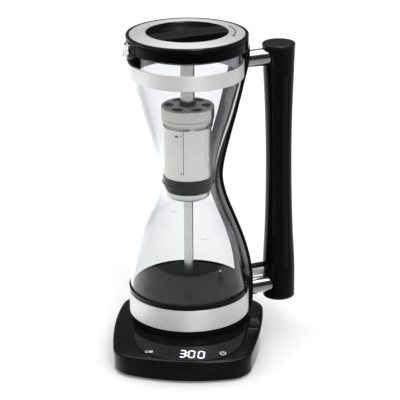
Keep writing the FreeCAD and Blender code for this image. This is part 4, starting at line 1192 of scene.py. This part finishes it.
def make_strap():
    s = strap_solid()
    top = cut(rod(8.0, 50.0, 62.5, 0.0, 306.4, 64, 0.0), lathe([(0, 280.0, 0), (58.0, 280.0, 0), (58.0, 330.0, 0), (0, 330.0, 0)], 256))
    low = cut(brick(55.0, 68.5, -10.0, 10.0, 41.0, 58.0), lathe([(0, 30.0, 0), (63.55, 30.0, 0), (63.55, 62.0, 0), (0, 62.0, 0)], 256))
    s = union(s, top, low)
    for yy, zz, rr, end, rb, x0 in POSTS:
        s = cut(s, rod(2.6, x0, 90.0, yy, zz, 32, 0.0))
    ob = finish_piece("handle_strap_shell", s, "carafe", "carafe", ["strap_black", "strap_grey"], ["handle_strap"])
    # the inward faces take the lighter grey copy of the black: painted light where the glass is in front of them
    me = ob.data
    c, sn = math.cos(YAW), math.sin(YAW)
    idx = np.zeros(len(me.polygons), np.int32)
    for i, f in enumerate(me.polygons):
        p = f.center
        x, y = p.x * 1000 + OX, p.y * 1000 + OY
        n = math.hypot(x, y)
        d = (f.normal.x * x + f.normal.y * y) / n
        ly = -x * sn + y * c
        if d < -0.55 and abs(ly) < 15.7:
            idx[i] = 1
    me.polygons.foreach_set("material_index", idx)


def make_posts():
    for nm, rows, node in (("upper_post", POSTS[:1], "upper_standoff"), ("lower_posts", POSTS[1:], "lower_standoffs")):
        ms = []
        for yy, zz, rr, end, rb, x0 in rows:
            prof = [(0, 62.0, 0), (rr, 62.0, 0.0), (rr, end, 0.35), (0, end, 0)]
            V, F = spin(rounded(prof, 4), 96)
            p = mesh_of([(q[2], q[0] + yy, q[1] + zz) for q in V], F)
            zz0 = np.linspace(zz - 14, zz + 14, 40)
            zz0 = zz0[(zz0 > 33.2) & (zz0 < 326.0)]
            cutter = mesh_of(*spin([(0.0, float(zz0[0]))] + [(float(strap_r(z)) + 0.02, float(z)) for z in zz0] + [(0.0, float(zz0[-1]))], 256))
            ms.append(cut(p, cutter, rod(2.6, 50.0, 120.0, yy, zz, 32, 0.0)))
        V, F = [], []
        for p in ms:
            V, F = join((V, F), ([tuple(v.co) for v in p.vertices], [tuple(f.vertices) for f in p.polygons]))
        ob = finish_piece(nm, mesh_of(V, F), "carafe", "carafe", ["chrome", "strap_black", "satin_steel"], [node])
        # the smaller rear post: its upward faces take the strap's black, a painted dark reflection along its top;
        # satin below
        if nm == "lower_posts":
            by_face(ob, lambda p, n: 0 if p.z < 0.0603 else (1 if n.z > 0.58 else 2))


def stadium(w, z0, z1, y0, y1, n=14):
    r = w / 2
    pts = [(r * math.cos(a), z1 - r + r * math.sin(a)) for a in np.linspace(0, math.pi, n)]
    pts += [(r * math.cos(a), z0 + r + r * math.sin(a)) for a in np.linspace(math.pi, 2 * math.pi, n)]
    return mesh_of(*stack([[(x, y, z) for x, z in pts] for y in (y0, y1)]))


def turned_grip(d, z0, z1, n=96, steps=64, e0=0.0, e1=0.0):
    """solid of the grip's profile moved in by d, ends rounded by e0 and e1"""
    prof = [(0.0, z0)]
    if e0:
        for a in np.linspace(90, 0, 7)[:-1]:
            prof.append((float(grip_r(z0 + e0)) - d - e0 * (1 - math.cos(math.radians(a))), z0 + e0 * (1 - math.sin(math.radians(a)))))
    for z in np.linspace(z0 + e0, z1 - e1, steps):
        prof.append((float(grip_r(z)) - d, float(z)))
    if e1:
        for a in np.linspace(0, 90, 7)[1:]:
            prof.append((float(grip_r(z1 - e1)) - d - e1 * (1 - math.cos(math.radians(a))), z1 - e1 * (1 - math.sin(math.radians(a)))))
    prof.append((0.0, z1))
    return mesh_of(*spin(prof, n))


def un_lean(p):
    """a point of the carafe's own frame in the grip's frame"""
    a = math.radians(GRIP_LEAN)
    x, z = p[0] - GRIP_X, p[2] - 176.0
    return x * math.cos(a) - z * math.sin(a), p[1], 176.0 + x * math.sin(a) + z * math.cos(a)


def grip_rod(r, x0, x1, yy, zz):
    V, F = spin([(0, x0), (r, x0), (r, x1), (0, x1)], 64)
    return mesh_of([un_lean((q[2], q[0] + yy, q[1] + zz)) for q in V], F)


def make_grip():
    body = cut(turned_grip(0.0, 37.0, 317.0, 128, 72, 0.25, 0.25), turned_grip(3.0, 36.0, 318.0, 64, 24))
    for s in (-1, 1):
        y0, y1 = (6.0, 30.0) if s > 0 else (-30.0, -6.0)
        groove = cut(stadium(9.3, 67.35, 290.65, y0, y1), turned_grip(1.3, 60.0, 300.0, 96, 40))
        body = cut(body, groove)
    for yy, zz, rr, end, rb, x0 in POSTS:
        body = cut(body, grip_rod(rr + 0.1, 80.0, end + 0.1, yy, zz), grip_rod(rb, 85.0, 101.0, yy, zz))
    finish_piece("grip_shell", body, "carafe", "grip", "grip_black", ["grip_body"], bevel=0.12)
    parts = ([], [])
    for s in (-1, 1):
        y0, y1 = (6.0, 30.0) if s > 0 else (-30.0, -6.0)
        k = boolean(stadium(8.0, 68.0, 290.0, y0, y1), turned_grip(0.12, 60.0, 300.0, 128, 72), "INTERSECT")
        k = cut(k, turned_grip(1.28, 58.0, 302.0, 96, 40))
        parts = join(parts, ([tuple(v.co) for v in k.vertices], [tuple(f.vertices) for f in k.polygons]))
    finish_piece("grip_inlay_strips", mesh_of(*parts), "carafe", "grip", "inlay", ["grip_inlays"], bevel=0.2)
    top = union(turned_grip(0.0, 317.05, 320.0, 128, 6, 0.2, 1.4), upright(9.0, 312.4, 317.2, 0.0, 0.0))
    finish_piece("grip_top_disc", top, "carafe", "grip", "grip_cap", ["grip_top_cap"])
    low = union(turned_grip(0.0, 34.0, 36.95, 128, 6, 1.4, 0.2), upright(9.0, 36.8, 43.0, 0.0, 0.0))
    finish_piece("grip_bottom_disc", low, "carafe", "grip", "grip_cap", ["grip_bottom_cap"])


make_strap()
make_posts()
make_grip()


# ------------------------------------------------------------------ filter stack
def make_filter():
    def t(name, prof, body, mat, node, slot, n=160, arc=4):
        return finish_piece(name, lathe(prof, n, arc=arc), body, "carafe", mat, [node] if node else [])
    basket = lathe([(23.8, 262.0, 0.15), (24.6, 262.0, 0.15), (24.6, 190.8, 0.6), (5.05, 190.8, 0), (5.05, 191.6, 0), (23.8, 191.6, 0.3)], 192)
    finish_piece("basket_shell", basket, "filter", "carafe", "satin_steel", ["filter_basket"])
    # the sheet's lap seam with two rivets, a pressed oval, and a row of small pips: raised 0.15 to 0.3 mm
    parts = []

    def patch(a0, a1, z0, z1, h, n=10):
        loops = []
        for k in range(n + 1):
            a = math.radians(a0 + (a1 - a0) * k / n)
            loops.append([((24.55 + d) * math.cos(a), (24.55 + d) * math.sin(a), z) for z, d in ((z0, 0.0), (z0 + 0.1, h), (z1 - 0.1, h), (z1, 0.0))])
        return stack(loops)

    def pip(a, z, r, h):
        V, F = spin(rounded([(0, 0, 0), (r, 0, 0), (r * 0.8, h, r * 0.3), (0, h, 0)], 3), 18)
        ca, sa = math.cos(math.radians(a)), math.sin(math.radians(a))
        out = []
        for x, y, q in V:
            rr = 24.5 + q
            out.append((rr * ca - x * sa, rr * sa + x * ca, z + y))
        return out, F
    A0 = SEAM_AZ
    parts.append(patch(A0 - 0.75, A0 + 0.75, 198.0, 244.8, 0.2))
    parts += [pip(A0 - 5.5, 240.5, 0.9, 0.5), pip(A0 - 5.5, 199.5, 0.9, 0.5)]
    for k in range(12):
        parts.append(pip(A0 + 58.0, 206.0 + 3.0 * k, 0.55, 0.25))
    for k in range(6):
        parts.append(pip(A0 + 63.0 + 5.0 * k, 206.0, 0.55, 0.25))
    V, F = spin([(0, 0), (2.4, 0), (2.0, 0.28), (0, 0.28)], 28)
    ca, sa = math.cos(math.radians(A0 - 17.0)), math.sin(math.radians(A0 - 17.0))
    parts.append(([((24.5 + q) * ca - x * sa, (24.5 + q) * sa + x * ca, 239.5 + y * 0.55) for x, y, q in V], F))
    finish_piece("basket_seam", mesh_of(*join(*parts)), "filter", "carafe", "seam_steel")

    t("basket_ribs", [(24.65, 245.2, 0), (25.7, 245.2, 0.3), (26.0, 246.2, 0.3), (25.4, 246.6, 0.2), (26.3, 248.2, 0.4), (25.7, 248.8, 0.2), (26.6, 251.2, 0.4),
                      (26.9, 252.1, 0.2), (26.9, 254.1, 0.3), (24.65, 254.1, 0)], "filter", "cup_steel", "basket_collar", "satin_steel")
    t("neck_seal_body", [(5.3, 174.6, 0.2), (21.0, 174.6, 0.5), (22.9, 175.6, 1.0), (24.4, 178.0, 2.0), (25.2, 181.5, 2.0), (25.6, 183.6, 0.3), (27.4, 184.3, 0.25),
                         (27.4, 184.9, 0.25), (25.9, 185.8, 0.3), (26.1, 189.4, 0.6), (25.8, 190.7, 0.4), (5.3, 190.7, 0)], "filter", "seal", "neck_seal", "seal")
    t("lower_cup", [(5.1, 166.9, 0.1), (18.5, 166.9, 1.5), (20.6, 167.5, 1.0), (22.0, 168.9, 1.5), (22.5, 171.0, 1.0), (22.5, 174.5, 0.2), (21.6, 174.5, 0.2),
                    (21.5, 171.0, 0), (20.2, 168.6, 0), (18.3, 167.9, 0), (7.5, 167.9, 0), (7.5, 174.5, 0), (5.1, 174.5, 0)], "filter", "satin_steel", "lower_cap", "satin_steel")
    t("siphon_pipe", [(4.2, 81.0, 0.2), (5.0, 81.0, 0.3), (5.0, 192.4, 0), (4.2, 192.4, 0)], "filter", "tube_steel", "siphon_tube", "satin_steel", 72)

    cap = lathe([(4.1, 265.6, 0), (26.6, 265.6, 0), (26.6, 254.5, 0.1), (27.5, 254.5, 0.15), (27.5, 265.6, 0.9), (26.9, 266.5, 0.9), (4.1, 266.5, 0)], 192)
    for i in range(6):
        ca, sa = math.cos(math.radians(60.0 * i + 3.0) - YAW), math.sin(math.radians(60.0 * i + 3.0) - YAW)
        pts = []
        for q in np.linspace(0.0, 2 * math.pi, 33)[:-1]:
            u, w = 19.2 + 4.8 * math.cos(q), (6.5 + 1.5 * math.cos(q)) * math.sin(q)
            pts.append((u * ca - w * sa, u * sa + w * ca))
        cap = cut(cap, mesh_of(*stack([[(x, y, z) for x, y in pts] for z in (263.0, 269.0)])))
    ob = finish_piece("filter_cap_shell", cap, "filter_top", "carafe", ["cap_steel_painted_light", "cup_steel"], ["filter_cap"], bevel=0.12)
    # upward faces and the rim above 266.4 mm in the pale steel, painted light on the cap's top; the sides in darker
    # polished steel
    by_face(ob, lambda p, n: 1 if n.z < 0.5 and p.z < 0.2664 else 0)
    # the mesh under the holes, in the near-black that paints their shade
    t("cap_gauze", [(8.2, 264.9, 0), (8.2, 265.4, 0), (26.5, 265.4, 0), (26.5, 263.9, 0.1), (25.0, 263.9, 0.1), (25.0, 264.9, 0)], "filter_top", "gauze", "cap_mesh", "satin_steel", 128)
    t("hub_ring", [(4.1, 266.55, 0), (8.8, 266.55, 0.1), (8.8, 269.7, 0.3), (8.2, 270.5, 0.4), (4.1, 270.5, 0)], "filter_top", "satin_black", "hub_nut", "satin_black", 96)
    t("stem_pipe", [(0, 261.0, 0), (4.0, 261.0, 0.3), (4.0, 270.55, 0), (7.4, 270.55, 0.6), (7.4, 321.0, 0.1), (6.4, 321.0, 0), (6.4, 275.5, 0), (0, 275.5, 0)], "filter_top",
      "stem_steel", "stem_tube", "satin_steel", 96)
    t("stem_cap", [(0, 312.0, 0), (6.38, 312.0, 0), (6.38, 321.0, 0), (7.4, 321.0, 0.1), (7.4, 322.2, 0.5), (0, 322.2, 0)], "filter_top", "satin_black", "stem_plug", "satin_black", 96)


SEAM_AZ = -125.0
make_filter()


# ------------------------------------------------------------------ lid
def make_lid():
    prof = [(62.65, 339.3, 0.35), (62.65, 341.4, 0.5), (62.05, 342.3, 0.5), (59.15, 342.3, 0.15), (59.15, 341.3, 0), (42.25, 343.25, 0.1), (41.6, 342.1, 2.0),
            (40.3, 338.6, 5.0), (37.8, 334.4, 6.0), (34.3, 331.1, 6.0), (30.6, 329.4, 5.0), (27.0, 329.0, 3.0), (0, 329.0, 0), (0, 327.0, 0),
            (28.0, 327.0, 0), (31.8, 327.6, 0), (36.0, 329.6, 0), (39.9, 333.2, 0), (42.5, 338.0, 0), (43.8, 340.9, 0), (50.4, 340.1, 0),
            (50.4, 324.0, 0.3), (54.2, 324.0, 0.5), (54.2, 327.4, 0.2), (52.5, 327.4, 0), (52.5, 333.6, 0), (54.2, 333.6, 0.2), (54.2, 339.3, 0)]
    body = lathe(prof, 256, arc=6)
    # the bar across the bowl, slightly crowned across its width
    sec = []
    for y in list(np.linspace(-12.0, -10.4, 6)) + list(np.linspace(-9.6, 9.6, 17)) + list(np.linspace(10.4, 12.0, 6)):
        z = 343.3 - 80.0 + math.sqrt(80.0 ** 2 - y * y)
        e = 12.0 - abs(y)
        if e < 1.6:
            z -= 1.6 - math.sqrt(max(1.6 ** 2 - (1.6 - e) ** 2, 0.0))
        sec.append((y, z))
    sec = [(-12.0, 328.5)] + sec + [(12.0, 328.5)]
    bar = mesh_of(*stack([[(x, y, z) for y, z in sec] for x in np.linspace(-43.0, 43.0, 9)]))
    bar = boolean(bar, lathe([(0, 320.0, 0), (42.2, 320.0, 0), (42.2, 350.0, 0), (0, 350.0, 0)], 256), "INTERSECT")
    body = cut(union(body, bar), brick(-34.0, 34.0, -10.0, 10.0, 320.0, 340.6))
    for a in (60.0, 180.0, 300.0):
        x, y = polar(47.0, a)
        body = cut(union(body, upright(3.1, 326.2, 341.2, x, y, 32)), upright(1.35, 325.0, 337.0, x, y, 24))
    ob = finish_piece("lid_shell", body, "lid", "carafe", ["lid_black", "bowl_black"], ["lid_body"], bevel=0.0)
    by_face(ob, lambda p, n: 1 if math.hypot(p.x - AX[0], p.y - AX[1]) < 0.0418 else 0)
    ring = lathe([(59.0, 341.4, 0), (59.0, 342.0, 0.2), (58.7, 342.25, 0.3), (42.8, 344.1, 0.35), (42.3, 343.9, 0.25), (42.3, 343.33, 0)], 288, arc=5)
    finish_piece("lid_ring_shell", ring, "lid", "carafe", "lid_steel", ["lid_steel_ring"])

    # curved arrow printed on the ring: which way the lid turns
    def top(r):
        return 342.25 + (58.7 - r) * 1.85 / 15.9

    def strip(a0, a1, r0, r1, n=24):
        loops = []
        for k in range(n + 1):
            a = math.radians(a0 + (a1 - a0) * k / n)
            loops.append([(r * math.cos(a), r * math.sin(a), top(r) + d) for r, d in ((r0, 0.005), (r1, 0.005), (r1, 0.05), (r0, 0.05))])
        return stack(loops)

    def head(a, sgn):
        tri = [(48.9, a + sgn * 3.8), (51.6, a - sgn * 0.4), (46.2, a - sgn * 0.4)]
        P = [(r * math.cos(math.radians(t)), r * math.sin(math.radians(t)), r) for r, t in tri]
        return stack([[(x, y, top(r) + d) for x, y, r in P] for d in (0.005, 0.05)])
    finish_piece("turn_arrow", mesh_of(*join(strip(-42.0, 1.0, 48.3, 49.5), head(1.0, 1), head(-42.0, -1))), "lid", "carafe", "print_dark", weighted=False)
    finish_piece("lid_seal_ring", lathe([(52.85, 327.75, 0), (54.0, 327.75, 0.2), (54.35, 328.6, 0.3), (53.9, 329.6, 0.2), (54.35, 330.6, 0.3), (53.9, 331.6, 0.2),
                                         (54.35, 332.5, 0.3), (54.0, 333.25, 0.2), (52.85, 333.25, 0)], 224), "lid_seal", "carafe", "clear_seal", ["lid_gasket"])


make_lid()

# ------------------------------------------------------------------ materials of the CAD nodes that stay
KEEP = {
    "base_top_housing": "gloss_black", "base_bottom_cover": "gloss_black", "display_lens": "smoked_lens", "display_digits": "lit_marks",
    "touch_icons": "icon_marks", "foot_pads": "foot_rubber", "base_screws": "zinc", "cord_gland": "hidden_black",
    "power_pcb": "board", "control_pcb": "board", "power_relay": "component", "power_transformer": "component", "display_module": "component",
    "base_connector": "hidden_black", "connector_contacts": "brass", "carafe_connector": "hidden_black",
    "carafe_foot_shell": "gloss_black", "foot_base_plate": "satin_black", "foot_screws": "zinc", "steel_trim_ring": "brushed_steel",
    "lower_clamp_ring": "gloss_black", "heating_plate": "plate_steel", "plate_gasket": "seal", "heat_spreader": "aluminium",
    "heating_element": "aluminium", "thermostat_block": "zinc", "temperature_sensor": "chrome", "sensor_grommet": "seal",
    "upper_steel_band": "brushed_steel", "upper_collar": "gloss_black", "handle_strap": "strap_black", "handle_studs": "zinc",
    "upper_standoff": "chrome", "lower_standoffs": "chrome", "grip_body": "grip_black", "grip_inlays": "inlay", "grip_top_cap": "grip_cap",
    "grip_bottom_cap": "grip_cap", "grip_core": "hidden_black",
    "filter_basket": "satin_steel", "basket_collar": "satin_steel", "basket_mesh": "satin_steel", "neck_seal": "seal", "lower_cap": "satin_steel",
    "siphon_tube": "satin_steel", "filter_cap": "satin_steel", "cap_mesh": "satin_steel", "hub_nut": "satin_black", "stem_nut": "zinc",
    "stem_tube": "satin_steel", "stem_plug": "satin_black",
    "lid_body": "gloss_black", "lid_steel_ring": "lid_steel", "lid_inner_cover": "satin_black", "lid_screws": "zinc", "lid_gasket": "clear_seal",
}
for node, ob in CAD.items():
    ob.data.materials.clear()
    ob.data.materials.append(M[KEEP.get(node, "satin_black")])
